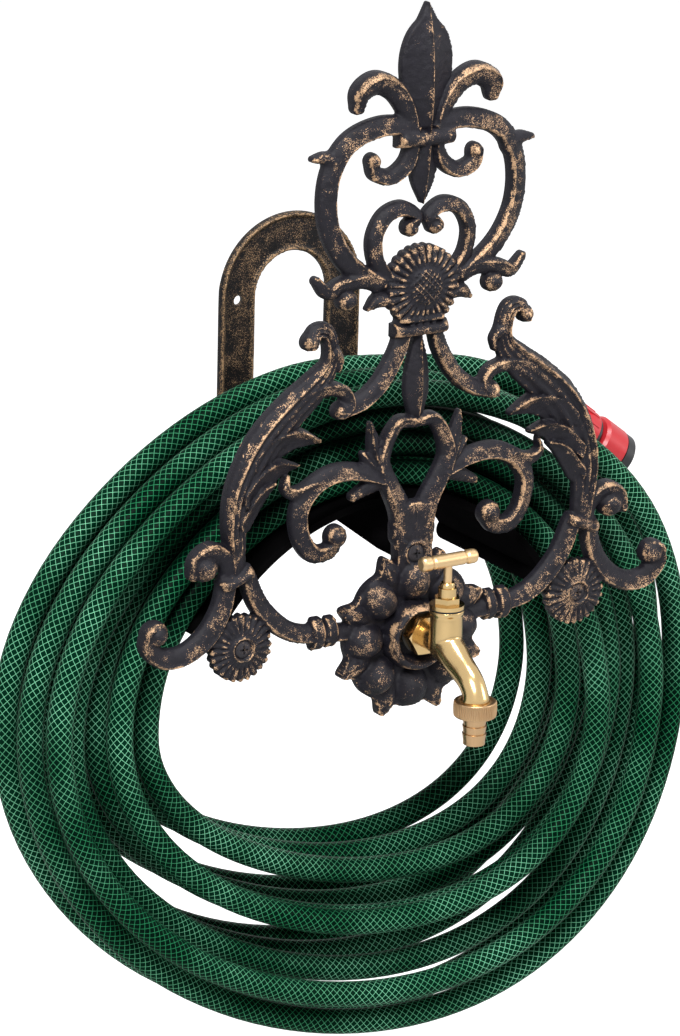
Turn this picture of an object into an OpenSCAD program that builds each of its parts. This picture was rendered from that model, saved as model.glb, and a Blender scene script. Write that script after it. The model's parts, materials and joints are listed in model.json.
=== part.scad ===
// Wall hose holder: an openwork cast-iron ornament held in front of a curved saddle,
// which stands out from an arched wall plate. A brass garden tap passes through the
// flower of the ornament, and a coil of braided garden hose hangs on the saddle.
// X is to the right, Z is up, the wall is the plane y = 0 and the front faces -Y.
// The origin is on the wall, in the middle of the four wall screw holes.

/* [Wall plate] */
// Width of the arched wall plate
arch_w = 106; // [100:1:112]
// Height of the arch above its upper screw holes
arch_over_hole = 55; // [53:1:60]
// Height of the lower screw holes above the foot of the plate
foot_under_hole = 23; // [18:1:26]
// Thickness of the wall plate
arch_t = 5; // [4:0.5:7]
// Width of each leg and of the foot bar
leg_w = 26; // [23:1:28]
// Diameter of a wall screw hole
wall_hole_d = 6.5; // [5:0.5:8]
// Height between the upper and the lower screw holes
wall_hole_span = 125; // [118:1:130]

/* [Saddle] */
// Distance from the wall to the back of the ornament
reach = 154; // [145:1:165]
// Gap between the saddle and the back of the ornament
standoff = 24; // [20:1:30]
// Thickness of the saddle
saddle_t = 5; // [4:0.5:6]
// Drop from the middle of the wall holes to the crown of the saddle
crown_drop = 41; // [38:1:45]
// Drop from the crown of the saddle to the middle screw
screw_drop = 29; // [27:1:33]
// Thickness of the web under the saddle
web_t = 6; // [5:0.5:8]
// Height of the web at the wall
web_wall_h = 20; // [18:1:26]
// Diameter of the beads along the saddle's edges, which take the side screws
boss_d = 16; // [14:0.5:18]

/* [Ornament] */
// Width of the ornament over its outer hooks
orn_w = 396; // [380:1:410]
// Height of the leaf tip above the middle screw
orn_rise = 352; // [338:1:366]
// Drop from the middle screw to the centre of the flower
flower_drop = 54; // [50:1:58]
// Width of a plain bar
bar_w = 12; // [10.5:0.25:13]
// Height of a bar's side edges above its flat back
bar_rim = 4.5; // [3.5:0.25:6]
// Height of a bar's ridge above its flat back
bar_crest = 9.5; // [8:0.25:11]
// Diameter of the screw rosettes
rosette_d = 43; // [40:1:48]
// Thickness of the ornament under each screw head
seat_t = 9; // [8:0.5:11]
// Number of ribs of a screw rosette
rosette_ribs = 24; // [16:1:28]
// Diameter of the fluted shell
shell_d = 52; // [48:1:56]
// Number of flutes of the shell
shell_flutes = 28; // [20:1:32]

/* [Flower] */
// Diameter of the flower over its small tips
flower_d = 114; // [108:1:120]
// Number of petals
petals = 8; // [6:1:10]
// Height of the petals above the back of the ornament
petal_h = 19; // [16:0.5:22]
// Diameter of the raised lip around the tap
lip_d = 41; // [38:0.5:44]
// Height of the lip above the back of the ornament
lip_h = 21; // [19:0.5:24]
// Diameter of the recess inside the lip
recess_d = 29.5; // [29:0.5:32]
// Depth of the recess
recess_deep = 5; // [3:0.5:7]
// Height of the tap's hole above the middle of the flower
hole_up = 4; // [2:0.5:5]
// Diameter of the rounded bud on each petal
bud_d = 20; // [17:0.5:22]

/* [Screws] */
// Diameter of the three ornament screws
screw_d = 6; // [5:0.5:7]
// Diameter of their countersunk heads
head_d = 12; // [11:0.5:13]
// Length of the screws, head included
screw_len = 26; // [22:1:30]

/* [Tap] */
// Diameter of the half-inch pipe thread of the inlet and the spout
thread_d = 20.95; // [20:0.05:22]
// Diameter of the clear hole through the ornament
tap_hole_d = 22; // [22:0.5:24]
// Distance from the ornament's back to the upright axis of the tap
tap_reach = 46.5; // [43:0.5:50]
// Length of the inlet thread that stands out behind the ornament
inlet_tail = 24; // [20:1:30]
// Width across flats of the inlet collar
collar_af = 24; // [23:0.5:24.5]
// Thickness of the inlet collar
collar_t = 9; // [7:0.5:10]
// Outer diameter of the tap body
body_d = 20.8; // [20.4:0.2:22]
// Height of the body's top above the inlet axis
body_top = 24; // [23:0.5:26]
// Depth of the body's round end below the inlet axis
body_low = 11; // [10:0.5:12]
// Water way of the inlet, the spout and the hose tail
bore_d = 9.5; // [8:0.5:10]
// Diameter of the valve seat hole
seat_d = 8; // [7:0.5:9]
// Thickness of the bonnet's flange
flange_t = 2.5; // [2:0.25:3.5]
// Height of the bonnet's hexagon
bonnet_hex_h = 4.5; // [4:0.5:6]
// Width across flats of the bonnet
bonnet_af = 15; // [14.5:0.5:17]
// Diameter of the gland nut
gland_d = 11.8; // [11.5:0.1:13]
// Height of the gland nut without its narrow top
gland_h = 6.2; // [5.5:0.1:8]
// Height of the narrow top of the gland nut
gland_dome_h = 3.5; // [3:0.5:6]
// Diameter of the spindle where it comes out
stem_d = 5.4; // [4.8:0.1:5.6]
// Length of spindle that shows under the handle
stem_show = 10; // [8.5:0.5:12]
// Length of the T handle
handle_len = 42; // [38:1:50]
// Diameter of the T handle
handle_d = 8.8; // [8:0.2:9.6]
// Turn of the handle seen from above when shut
handle_yaw = 2; // [0:1:30]
// Lift of the valve from shut to fully open
valve_lift = 5; // [4:0.25:5.5]
// Height of the spout's start above the inlet axis
spout_up = 2.5; // [2:0.5:3.5]
// Forward step from the tap's upright axis to the start of the spout's bend
spout_step = 14; // [13:0.5:16]
// Radius of the spout's bend
spout_r = 22; // [21:0.5:24]
// Outer diameter of the spout
spout_d = 16.4; // [15:0.2:16.8]
// Length of the spout's straight end above the union nut
spout_straight = 7; // [5:0.5:9]
// Diameter of the union nut
union_d = 27.8; // [27:0.2:30]
// Height of the union nut
union_h = 10.2; // [10:0.1:11.4]
// Outer diameter of the hose tail over its barbs
tail_d = 15.4; // [14.8:0.2:16]
// Length of the hose tail under the union nut
tail_len = 18.5; // [17:0.5:24]
// Number of barbs on the hose tail
tail_barbs = 3; // [2:1:4]

/* [Hose] */
// Outer diameter of the hose
hose_d = 17; // [15:0.5:18]
// Turns of hose in the coil
hose_turns = 13.2; // [9.2:1:14.2]
// Turns in each layer before the coil turns back
layer_turns = 3.6; // [3.4:0.1:4.6]
// Least gap between the layers over the saddle
layer_gap = 0.6; // [0.5:0.1:2]
// Outer diameter of the connector's grip nut
grip_d = 32; // [29:0.5:34]
// Length of the connector's grip nut
grip_len = 24; // [22:1:30]
// Outer diameter of the connector's release sleeve
sleeve_d = 35; // [33:0.5:38]
// Length of the release sleeve
sleeve_len = 20; // [17:1:20.4]
// Travel of the release sleeve
sleeve_travel = 3; // [2:0.25:4]

/* [Hidden] */

// Colours
iron = [0.16, 0.15, 0.17];
bronze = [0.34, 0.28, 0.20];
brass = [0.83, 0.68, 0.36];
brass_dull = [0.76, 0.62, 0.36];
rubber = [0.10, 0.10, 0.10];
hose_green = [0.05, 0.32, 0.20];
grip_red = [0.80, 0.15, 0.16];
plastic_black = [0.12, 0.12, 0.13];

$fn = 48;
weld = 0.1;       // gap left at a welded or clamped seat
run = 0.08;       // running clearance of a fit, on the radius
face_gap = 0.3;   // gap between faces of pieces that move apart

// The half drawing of the ornament was made 198 wide, 352 up and 54 down
// from the middle screw. These put its points at the size that is set.
draw_x = orn_w / 396;
draw_up = orn_rise / 352;
draw_down = flower_drop / 54;
function at(x, z) = [x * draw_x, z * (z > 0 ? draw_up : draw_down)];

// Places that several pieces share
screw_z = -crown_drop - screw_drop;
side_seat = at(126, -45);
side_x = side_seat[0];
side_z = screw_z + side_seat[1];
tap_z = screw_z - flower_drop + hole_up;
tap_y = -reach - tap_reach;
leg_x = (arch_w - leg_w) / 2;
arch_top = wall_hole_span / 2 + arch_over_hole;
arch_foot = -wall_hole_span / 2 - foot_under_hole;

// The saddle's middle surface is an arc from its crown through both side screws
saddle_fall = -crown_drop - saddle_t / 2 - side_z;
saddle_mid_r = (side_x * side_x + saddle_fall * saddle_fall) / (2 * saddle_fall);
saddle_top_r = saddle_mid_r + saddle_t / 2;
saddle_cz = -crown_drop - saddle_top_r;
saddle_angle = asin(side_x / saddle_mid_r);
saddle_front = reach - standoff;

// Shared shapes

// A bar along the Y axis from y0 back to y1
module bar_y(d, y0, y1, fn = 48) {
    translate([0, max(y0, y1), 0])
        rotate([90, 0, 0])
            cylinder(d = d, h = abs(y1 - y0), $fn = fn);
}

// A hexagonal prism along Z, by its width across flats
module hexagon(af, h) {
    cylinder(d = af / cos(30), h = h, $fn = 6);
}

module both_sides() {
    children();
    mirror([1, 0, 0]) children();
}

// Wall plate

module arch_outline(w, top, foot) {
    translate([0, top - w / 2]) circle(d = w, $fn = 96);
    translate([-w / 2, foot]) square([w, top - w / 2 - foot]);
}

module wall_arch() {
    color(bronze)
        translate([0, 0, 0])
            rotate([90, 0, 0])
                linear_extrude(height = arch_t)
                    difference() {
                        arch_outline(arch_w, arch_top, arch_foot);
                        arch_outline(arch_w - 2 * leg_w, arch_top - leg_w, arch_foot + leg_w);
                        for (x = [-leg_x, leg_x], z = [-wall_hole_span / 2, wall_hole_span / 2])
                            translate([x, z]) circle(d = wall_hole_d);
                    }
}

// Saddle, its web and its thick edges

module saddle_ring(r_in, r_out, y0, y1) {
    translate([0, y1, saddle_cz])
        rotate([90, 0, 0])
            rotate([0, 0, 90 - saddle_angle])
                rotate_extrude(angle = 2 * saddle_angle, $fn = 120)
                    translate([r_in, 0]) square([r_out - r_in, y1 - y0]);
}

module hose_saddle() {
    color(iron)
        difference() {
            saddle_ring(saddle_top_r - saddle_t, saddle_top_r, -saddle_front, -arch_t - weld);
            both_sides()
                translate([side_x, 0, side_z]) bar_y(boss_d + 2 * weld, -saddle_front - 1, 0);
        }
}

module saddle_web() {
    top = -crown_drop - saddle_t - weld;
    low_front = screw_z - boss_d / 2;
    boss_back = -reach + standoff + boss_d / 2;
    color(iron)
        difference() {
            union() {
                translate([-web_t / 2, 0, 0])
                    rotate([90, 0, 90])
                        linear_extrude(height = web_t)
                            polygon([
                                [-arch_t - weld, top], [-reach, top], [-reach, low_front],
                                [boss_back, low_front], [-arch_t - weld, top - web_wall_h]]);
                translate([0, 0, screw_z]) bar_y(boss_d, -reach, boss_back);
            }
            translate([0, 0, screw_z]) bar_y(screw_d + 2 * run, -reach - 1, -reach + screw_len);
        }
}

module saddle_edges() {
    color(iron)
        both_sides()
            translate([side_x, 0, side_z])
                difference() {
                    bar_y(boss_d, -reach, -arch_t - weld);
                    bar_y(screw_d + 2 * run, -reach - 1, -reach + screw_len);
                }
}

// Ornament. Each bar is a path of points [x, z, width, height] with a roof-shaped section.

function curve_point(a, b, c, d, t) =
    0.5 * (2 * b + (c - a) * t + (2 * a - 5 * b + 4 * c - d) * t * t + (3 * b - a - 3 * c + d) * t * t * t);
function curve(p, n) = [
    for (i = [0 : len(p) - 2], j = [0 : n - 1])
        curve_point(p[max(i - 1, 0)], p[i], p[i + 1], p[min(i + 2, len(p) - 1)], j / n),
    p[len(p) - 1]];
function unit(v) = v / norm(v);
function placed(p) = [for (q = p) [at(q[0], q[1])[0], at(q[0], q[1])[1], q[2] * bar_w / 12, len(q) > 3 ? q[3] : bar_crest]];

// Skin of a row of rings with m points each, closed at both ends
module skin(points, m) {
    n = len(points) / m;
    sides = [
        for (i = [0 : n - 2], j = [0 : m - 1])
            for (f = [[i * m + j, (i + 1) * m + j, (i + 1) * m + (j + 1) % m],
                      [i * m + j, (i + 1) * m + (j + 1) % m, i * m + (j + 1) % m]]) f];
    first = [for (j = [1 : m - 2]) [0, j, j + 1]];
    last = [for (j = [1 : m - 2]) [(n - 1) * m, (n - 1) * m + j + 1, (n - 1) * m + j]];
    polyhedron(points, concat(sides, first, last), convexity = 6);
}

// Every piece of the drawing runs this far past the flat back, which is cut off at the end
over = 1;

// A cast bar along a curve. rim is the height of its side edges.
module stroke(path, n = 2, rim = bar_rim) {
    q = curve(placed(path), n);
    last = len(q) - 1;
    points = [
        for (i = [0 : last])
            let (
                a = q[max(i - 1, 0)], b = q[min(i + 1, last)],
                t = unit([b[0] - a[0], b[1] - a[1]]),
                side = [t[1], -t[0]] * q[i][2] / 2,
                crest = q[i][3],
                edge = min(rim, crest * 0.6))
            for (s = [[0, crest], [1, edge], [1, -over], [-1, -over], [-1, edge]])
                [q[i][0] + side[0] * s[0], -s[1], q[i][1] + side[1] * s[0]]];
    skin(points, 5);
}

// A rounded boss on the ornament
module knob(x, z, r, h) {
    p = at(x, z);
    translate([p[0], 0, p[1]])
        rotate([90, 0, 0])
            rotate_extrude($fn = 14)
                polygon([[0, -over], [r, -over], [r, h * 0.35], [r * 0.86, h * 0.72], [r * 0.5, h * 0.94], [0, h]]);
}

// A round bead whose axis lies along X, cut off flat at the back
module bead(x, z, w, r) {
    p = at(x, z);
    hull() {
        for (e = [[w, 0.72], [w * 0.5, 1]])
            translate([p[0] - e[0] / 2, 0, p[1]])
                rotate([90, 0, 90])
                    linear_extrude(height = e[0])
                        polygon(concat([[over, r * e[1]]],
                            [for (a = [0 : 30 : 180]) [-r * e[1] * sin(a), r * e[1] * cos(a)]],
                            [[over, -r * e[1]]]));
    }
}

// A round relief: radius out(a) at each angle, height up(s, a) from s = 0 in the middle to 1
module relief(x, z, steps, rings, out, up) {
    p = at(x, z);
    points = concat(
        [[0, over, 0]],
        [for (k = [0 : steps - 1]) let (a = 360 * k / steps) [out(a) * cos(a), over, out(a) * sin(a)]],
        [for (s = [rings : -1 : 1], k = [0 : steps - 1])
            let (a = 360 * k / steps, r = out(a) * s / rings)
                [r * cos(a), -up(s / rings, a), r * sin(a)]],
        [[0, -up(0, 0), 0]]);
    faces = concat(
        [for (k = [0 : steps - 1]) [0, 1 + k, 1 + (k + 1) % steps]],
        [for (s = [0 : rings - 1], k = [0 : steps - 1])
            let (a = 1 + s * steps + k, b = 1 + s * steps + (k + 1) % steps)
                for (f = [[a, b + steps, b], [a, a + steps, b + steps]]) f],
        [for (k = [0 : steps - 1])
            [1 + rings * steps + k, 1 + (rings + 1) * steps, 1 + rings * steps + (k + 1) % steps]]);
    translate([p[0], 0, p[1]]) polyhedron(points, faces, convexity = 4);
}

// The right half of the ornament's open scrollwork
module scrollwork() {
    // Upper ring with its outer knob
    stroke([[10, 277, 12], [33, 278, 13], [54, 271, 13], [66, 256, 13], [70, 238, 13], [68, 219, 13],
        [60, 202, 13], [48, 189, 13], [32, 179, 12]]);
    stroke([[64, 258, 12, 8], [72, 262, 8, 8], [80, 262, 4, 6]], 2);
    // Side petal and lower curl of the lily
    stroke([[9, 272, 8], [14, 287, 12], [23, 300, 14], [36, 306, 15, 12], [47, 301, 14, 12], [49, 292, 10, 8]]);
    stroke([[9, 268, 8], [13, 254, 10], [24, 246, 10], [35, 249, 10], [38, 257, 9]]);
    // Heart
    stroke([[9, 213, 10, 11], [4, 219, 8], [15, 225, 10], [28, 221, 10], [35, 208, 10], [33, 193, 10],
        [25, 181, 10]]);
    // Side arm, its leaf tip and the shell's wing
    stroke([[24, 178, 10], [42, 182, 11], [58, 180, 11], [68, 177, 9], [76, 185, 6, 7]]);
    stroke([[18, 168, 12], [30, 168, 10], [38, 163, 3, 6]], 2);
    knob(54, 171, 8, 12);
    // Arms that part below the neck
    stroke([[12, 145, 10], [17, 131, 11], [28, 114, 11], [41, 104, 11], [55, 100, 11]]);
    // Long acanthus leaf from its top curl to the collar
    stroke([[80, 146, 9, 11], [76, 153, 9], [68, 152, 11], [64, 142, 11], [65, 130, 13], [75, 118, 20],
        [92, 104, 24, 11], [109, 88, 25, 12], [121, 70, 24, 12], [129, 52, 20, 12], [131, 34, 17, 11],
        [130, 17, 14], [129, 2, 12]]);
    // Lobes of the leaf, the top one curled under
    stroke([[84, 111, 12], [68, 115, 10], [55, 112, 9], [51, 104, 9], [57, 99, 9, 11]]);
    stroke([[104, 96, 14], [90, 100, 10], [77, 106, 4, 6]], 2);
    stroke([[112, 76, 18], [92, 83, 13], [72, 82, 4, 6]], 2);
    stroke([[119, 54, 18], [104, 65, 12], [88, 68, 4, 6]], 2);
    stroke([[125, 36, 14], [113, 52, 9], [103, 58, 4, 6]], 2);
    stroke([[62, 138, 8], [57, 133, 5, 7], [58, 126, 3, 6]], 2);
    // Curled leaf beside the collar
    stroke([[134, 2, 10], [137, 14, 12], [148, 21, 12, 11], [158, 17, 10], [160, 8, 9]]);
    knob(152, 11, 10, 13);
    // Outer hook
    stroke([[136, 0, 12], [140, -18, 13], [150, -34, 14], [166, -44, 13], [181, -44, 13], [191, -35, 12],
        [190, -26, 12, 12]]);
    knob(186, -27, 9, 13);
    // Inner arm to the flower and its two beads
    stroke([[122, 2, 12], [113, -18, 13], [100, -33, 13], [85, -42, 12], [66, -45, 11], [46, -47, 11]]);
    bead(70, -45, 10, 11);
    bead(60, -45, 9, 10.5);
    // Lyre stem, its leaf and its lobe
    stroke([[7, 12, 15], [10, 30, 15], [18, 46, 13], [24, 60, 12], [21, 74, 10], [13, 86, 9], [3, 86, 8]]);
    stroke([[23, 56, 10], [29, 70, 11, 8], [33, 88, 3, 6]], 3);
    stroke([[26, 56, 8], [34, 64, 8, 7], [38, 69, 4, 6]], 2);
    // Inner scroll, its fishtail and small leaf
    stroke([[24, 52, 10], [42, 58, 11], [60, 59, 12], [76, 52, 12], [85, 38, 12], [83, 21, 12],
        [74, 9, 12], [62, 9, 11], [56, 17, 11]]);
    knob(57, 19, 8, 12);
    stroke([[74, 54, 8], [87, 50, 9, 8], [95, 54, 6, 8], [94, 62, 3, 6]], 2);
    stroke([[22, 50, 10, 7], [36, 46, 9, 7], [45, 42, 6, 7]], 2);
    // Knots that tie the bars together
    collar(130, 1, 22, 9, -20);
}

// A tied band across a bar, turned by an angle
module collar(x, z, w, h, turn) {
    p = at(x, z);
    translate([p[0], 0, p[1]])
        rotate([0, -turn, 0])
            hull()
                for (e = [[w, h, 6], [w - 5, h - 3, 12]])
                    translate([-e[0] / 2, -e[2], -e[1] / 2]) cube([e[0], e[2] + over, e[1]]);
}

// Lily leaf, band, lower leaf, shell, neck, drop leaf and middle block
module middle_pieces() {
    stroke([[0, 278, 14, 12], [0, 296, 28, 13], [0, 312, 37, 12], [0, 325, 33, 11], [0, 338, 16, 9], [0, 352, 3, 6]], 4);
    stroke([[0, 270, 10, 12], [0, 256, 19, 11], [0, 244, 17, 9], [0, 228, 3, 6]], 3);
    stroke([[0, 144, 4, 8], [0, 126, 14, 10], [0, 110, 18, 11], [0, 98, 14, 10], [0, 84, 4, 6]], 3);
    collar(0, 269, 42, 11, 0);
    collar(0, 154, 34, 6, 0);
    collar(0, 147, 40, 9, 0);
    hull() {
        for (x = [-11, 11], z = [-14, 16])
            translate([at(x, z)[0] - 2, -seat_t, at(x, z)[1] - 2]) cube([4, seat_t + over, 4]);
    }
    both_sides() bead(10, 15, 12, 8);
    shell_r = shell_d / 2;
    relief(0, 175, 2 * shell_flutes, 4,
        function(a) shell_r - (round(a * shell_flutes / 180) % 2) * 1.2,
        function(s, a) s > 0.99 ? 6
            : s < 0.01 ? 12
            : 13 - 5 * s * s + (round(a * shell_flutes / 180) % 2 == 0 ? 1.5 : -0.6) * s);
}

// A fluted disc with a flat seat for a screw head
module rosette() {
    rosette_r = rosette_d / 2;
    relief(126, -45, 2 * rosette_ribs, 4,
        function(a) rosette_r - (round(a * rosette_ribs / 180) % 2) * 1.2,
        function(s, a) s > 0.99 ? 5
            : s < 0.3 ? seat_t
            : seat_t - 3 * s * s + (round(a * rosette_ribs / 180) % 2 == 0 ? 1.2 : -1));
}

// Each petal carries a rounded bud and ends low. Small pointed tips stand between them.
module flower() {
    tip_r = flower_d / 2;
    bud_r = bud_d / 2;
    bud_ring = tip_r * 0.63;
    relief(0, -54, 12 * petals, 8,
        function(a) tip_r * (0.85 + 0.15 * pow(max(0, -cos(petals * a)), 3) + 0.02 * max(0, cos(petals * a))),
        function(s, a)
            let (
                step = 360 / petals,
                off = a - step * round(a / step),
                r = s * tip_r * 0.9,
                far = norm([r - bud_ring, bud_ring * sin(off)]),
                bud = bud_r * bud_r - far * far,
                tip = max(0, -cos(petals * a)))
                s < 0.36 ? lip_h - 3
                : s > 0.99 ? 3
                : max(7 + 2.5 * tip * s, bud > 0 ? petal_h - bud_r + sqrt(bud) : 0));
    p = at(0, -54);
    translate([p[0], 0, p[1]])
        rotate([90, 0, 0])
            rotate_extrude($fn = 40)
                polygon([[0, -over], [lip_d / 2 + 2, -over], [lip_d / 2 + 1, lip_h - 3], [lip_d / 2 - 1, lip_h],
                    [recess_d / 2 + 1, lip_h], [0, lip_h]]);
}

module front_ornament() {
    color(iron)
        translate([0, -reach, screw_z])
            difference() {
                union() {
                    both_sides() {
                        scrollwork();
                        rosette();
                    }
                    middle_pieces();
                    flower();
                }
                translate([-orn_w, 0, -orn_w]) cube([2 * orn_w, 5, 3 * orn_w]);
                for (p = [[0, 0], side_seat, [-side_x, side_seat[1]]])
                    translate([p[0], 0, p[1]]) {
                        rotate([90, 0, 0]) cylinder(d = screw_d + 0.6, h = seat_t + 20, $fn = 24, center = true);
                        translate([0, -seat_t, 0])
                            rotate([-90, 0, 0])
                                cylinder(d1 = head_d + 0.6, d2 = screw_d + 0.6, h = (head_d - screw_d) / 2, $fn = 24);
                        translate([0, -seat_t - 10, 0])
                            rotate([-90, 0, 0]) cylinder(d = head_d + 2, h = 10, $fn = 24);
                    }
                translate([0, 0, hole_up - flower_drop]) {
                    bar_y(tap_hole_d, 1, -lip_h - 1);
                    translate([0, -lip_h + recess_deep, 0]) bar_y(recess_d, 0, -recess_deep - 1);
                }
            }
}

module ornament_screw() {
    cone_h = (head_d - screw_d) / 2;
    rotate([-90, 0, 0])
        difference() {
            union() {
                cylinder(d1 = head_d, d2 = screw_d, h = cone_h);
                cylinder(d = screw_d, h = screw_len);
            }
            for (a = [0, 90])
                rotate([0, 0, a]) translate([-head_d * 0.28, -head_d * 0.06, -1]) cube([head_d * 0.56, head_d * 0.12, 2.6]);
        }
}

module ornament_screws() {
    color(plastic_black)
        for (p = [[0, screw_z], [side_x, side_z], [-side_x, side_z]])
            translate([p[0], -reach - seat_t, p[1]]) ornament_screw();
}

// Tap. Its pieces are placed from the upright axis at the height of the inlet.

seat_y = -reach - lip_h + recess_deep;         // face inside the lip that carries the gasket
gasket_t = 1.5;
collar_back = seat_y - gasket_t - weld;
body_r = body_d / 2;
chamber_d = thread_d - 4;                      // valve chamber inside the body
seat_low = -3.5;                               // underside of the valve seat's wall
seat_wall = 2.5;
seat_lip = 1;
seat_top = seat_low + seat_wall + seat_lip;
washer_t = 2.5;
jumper_flange_t = 2;
jumper_stem_d = 4.4;
jumper_stem_len = 9;
screw_len_spindle = 17;                        // threaded foot of the spindle
spindle_d = 9.6;
bonnet_plug = 11;                              // length of the bonnet inside the body
bonnet_base = body_top + 0.8 + 2 * weld;       // underside of the bonnet's flange
bonnet_top = bonnet_base + flange_t + bonnet_hex_h;
spigot_h = gland_h - 0.7;
gland_top = bonnet_top + gland_h + gland_dome_h;
handle_z = gland_top + stem_show + handle_d / 2;
spindle_foot = seat_top + washer_t + jumper_flange_t + valve_lift + face_gap + 2 * weld;
runout_w = 1.5;                                // groove at the inner end of the inlet's free thread

module at_tap() {
    translate([0, tap_y, tap_z]) children();
}

// Spout as a solid of diameter d, from the upright axis down to the union
module spout_solid(d) {
    translate([0, 0, spout_up]) {
        bar_y(d, 0, -spout_step);
        translate([0, -spout_step, -spout_r])
            rotate([90, 0, -90])
                rotate_extrude(angle = 90, $fn = 72)
                    translate([spout_r, 0]) circle(d = d);
    }
}

spout_y = -spout_step - spout_r;
spout_end = spout_up - spout_r;
spout_thread_h = 5.5;
thread_top = spout_end - spout_straight;
backnut_h = 8;
backnut_af = 30;

module tap_body() {
    inlet_end = -reach + inlet_tail - tap_y;
    runout_y = -reach + weld + backnut_h + 0.5 - tap_y;
    color(brass)
        at_tap()
            difference() {
                union() {
                    rotate_extrude()
                        polygon(concat(
                            [[0, -body_low], [body_r * 0.2, -body_low]],
                            [for (a = [20 : 14 : 90]) [body_r * sin(a), body_r - body_low - body_r * cos(a)]],
                            [[body_r, body_top - 3], [body_r + 0.6, body_top - 2], [body_r + 0.6, body_top],
                             [0, body_top]]));
                    bar_y(collar_af * 0.68, collar_back - 1 - tap_y, 0);
                    translate([0, collar_back - tap_y, 0])
                        rotate([90, 0, 0]) rotate([0, 0, 30]) hexagon(collar_af, collar_t);
                    bar_y(thread_d, collar_back - tap_y - 1, inlet_end);
                    spout_solid(spout_d);
                    translate([0, -1, spout_up])
                        rotate([90, 0, 0]) cylinder(d1 = body_d - 1.6, d2 = spout_d - 0.8, h = spout_step - 1.5);
                    translate([0, spout_y, thread_top]) cylinder(d = spout_d, h = spout_straight);
                    translate([0, spout_y, thread_top - spout_thread_h]) cylinder(d = thread_d, h = spout_thread_h);
                }
                difference() {
                    bar_y(thread_d + 2, runout_y, runout_y + runout_w);
                    bar_y(thread_d - 1.6, runout_y - 1, runout_y + runout_w + 1);
                }
                bar_y(thread_d - 7, body_r + 1.5, inlet_end + 1);
                translate([0, 0, -5.5]) bar_y(5, 0, body_r + 4);
                translate([0, 0, -8]) cylinder(d = seat_d + 1, h = seat_low + 8);
                translate([0, 0, seat_low - 1]) cylinder(d = seat_d, h = seat_wall + 2);
                difference() {
                    translate([0, 0, seat_low + seat_wall]) cylinder(d = chamber_d, h = body_top + 5);
                    translate([0, 0, seat_low]) difference() {
                        cylinder(d = seat_d + 3, h = seat_wall + seat_lip);
                        translate([0, 0, -1]) cylinder(d = seat_d, h = seat_wall + seat_lip + 2);
                    }
                }
                intersection() {
                    spout_solid(bore_d - 1);
                    translate([-20, -60, -40]) cube([40, 60 - chamber_d / 2 + 2, 80]);
                }
                translate([0, spout_y, thread_top - spout_thread_h - 1])
                    cylinder(d = bore_d, h = spout_thread_h + spout_straight + 1.5);
            }
}

module inlet_gasket() {
    color(rubber)
        translate([0, 0, tap_z])
            difference() {
                bar_y(recess_d - 2, seat_y, seat_y - gasket_t);
                bar_y(thread_d + 0.4, seat_y + 1, seat_y - gasket_t - 1);
            }
}

module tap_backnut() {
    color(brass_dull)
        translate([0, -reach + weld, tap_z])
            difference() {
                rotate([-90, 0, 0]) hexagon(backnut_af, backnut_h);
                bar_y(thread_d + 2 * weld, -1, backnut_h + 1);
            }
}

module bonnet_washer() {
    color(rubber)
        at_tap()
            translate([0, 0, body_top + weld])
                difference() {
                    cylinder(d = body_d + 0.8, h = 0.8);
                    translate([0, 0, -1]) cylinder(d = chamber_d + 0.4, h = 3);
                }
}

module tap_bonnet() {
    color(brass)
        at_tap()
            difference() {
                union() {
                    translate([0, 0, bonnet_base - bonnet_plug]) cylinder(d = chamber_d - 2 * weld, h = bonnet_plug + 1);
                    translate([0, 0, bonnet_base]) cylinder(d = body_d + 1.4, h = flange_t);
                    translate([0, 0, bonnet_base + flange_t - 0.5]) hexagon(bonnet_af, bonnet_hex_h + 0.5);
                    translate([0, 0, bonnet_top - 1]) cylinder(d = gland_d - 2.4, h = spigot_h + 1);
                }
                translate([0, 0, bonnet_base - bonnet_plug - 1]) cylinder(d = spindle_d + 2 * run, h = bonnet_plug + flange_t + 2);
                translate([0, 0, bonnet_top - 4]) cylinder(d = stem_d + 2 * run, h = 30);
                translate([0, 0, bonnet_top + 1]) cylinder(d = gland_d - 5, h = 30);
            }
}

module gland_packing() {
    color([0.82, 0.80, 0.74])
        at_tap()
            translate([0, 0, bonnet_top + 1 + weld])
                difference() {
                    cylinder(d = gland_d - 5 - 2 * weld, h = spigot_h - 1);
                    translate([0, 0, -1]) cylinder(d = stem_d + 2 * run, h = spigot_h + 2);
                }
}

module gland_nut() {
    color(brass)
        at_tap()
            translate([0, 0, bonnet_top + weld])
                difference() {
                    union() {
                        cylinder(d = gland_d, h = gland_h - weld);
                        rotate_extrude()
                            polygon([[0, gland_h - 1], [gland_d * 0.4, gland_h - 1],
                                [gland_d * 0.4, gland_h + gland_dome_h * 0.7],
                                [gland_d * 0.35, gland_h + gland_dome_h - weld], [0, gland_h + gland_dome_h - weld]]);
                    }
                    translate([0, 0, -1]) cylinder(d = gland_d - 2.4 + 2 * weld, h = spigot_h + 1 + weld);
                    translate([0, 0, -1]) cylinder(d = stem_d + 2 * run, h = 40);
                }
}

module tap_spindle() {
    color(brass_dull)
        at_tap()
            difference() {
                union() {
                    translate([0, 0, spindle_foot]) cylinder(d = spindle_d, h = screw_len_spindle);
                    translate([0, 0, spindle_foot + 1]) cylinder(d = stem_d, h = handle_z - spindle_foot);
                }
                translate([0, 0, spindle_foot - 1]) cylinder(d = jumper_stem_d + 2 * run, h = jumper_stem_len + 1);
            }
}

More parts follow.
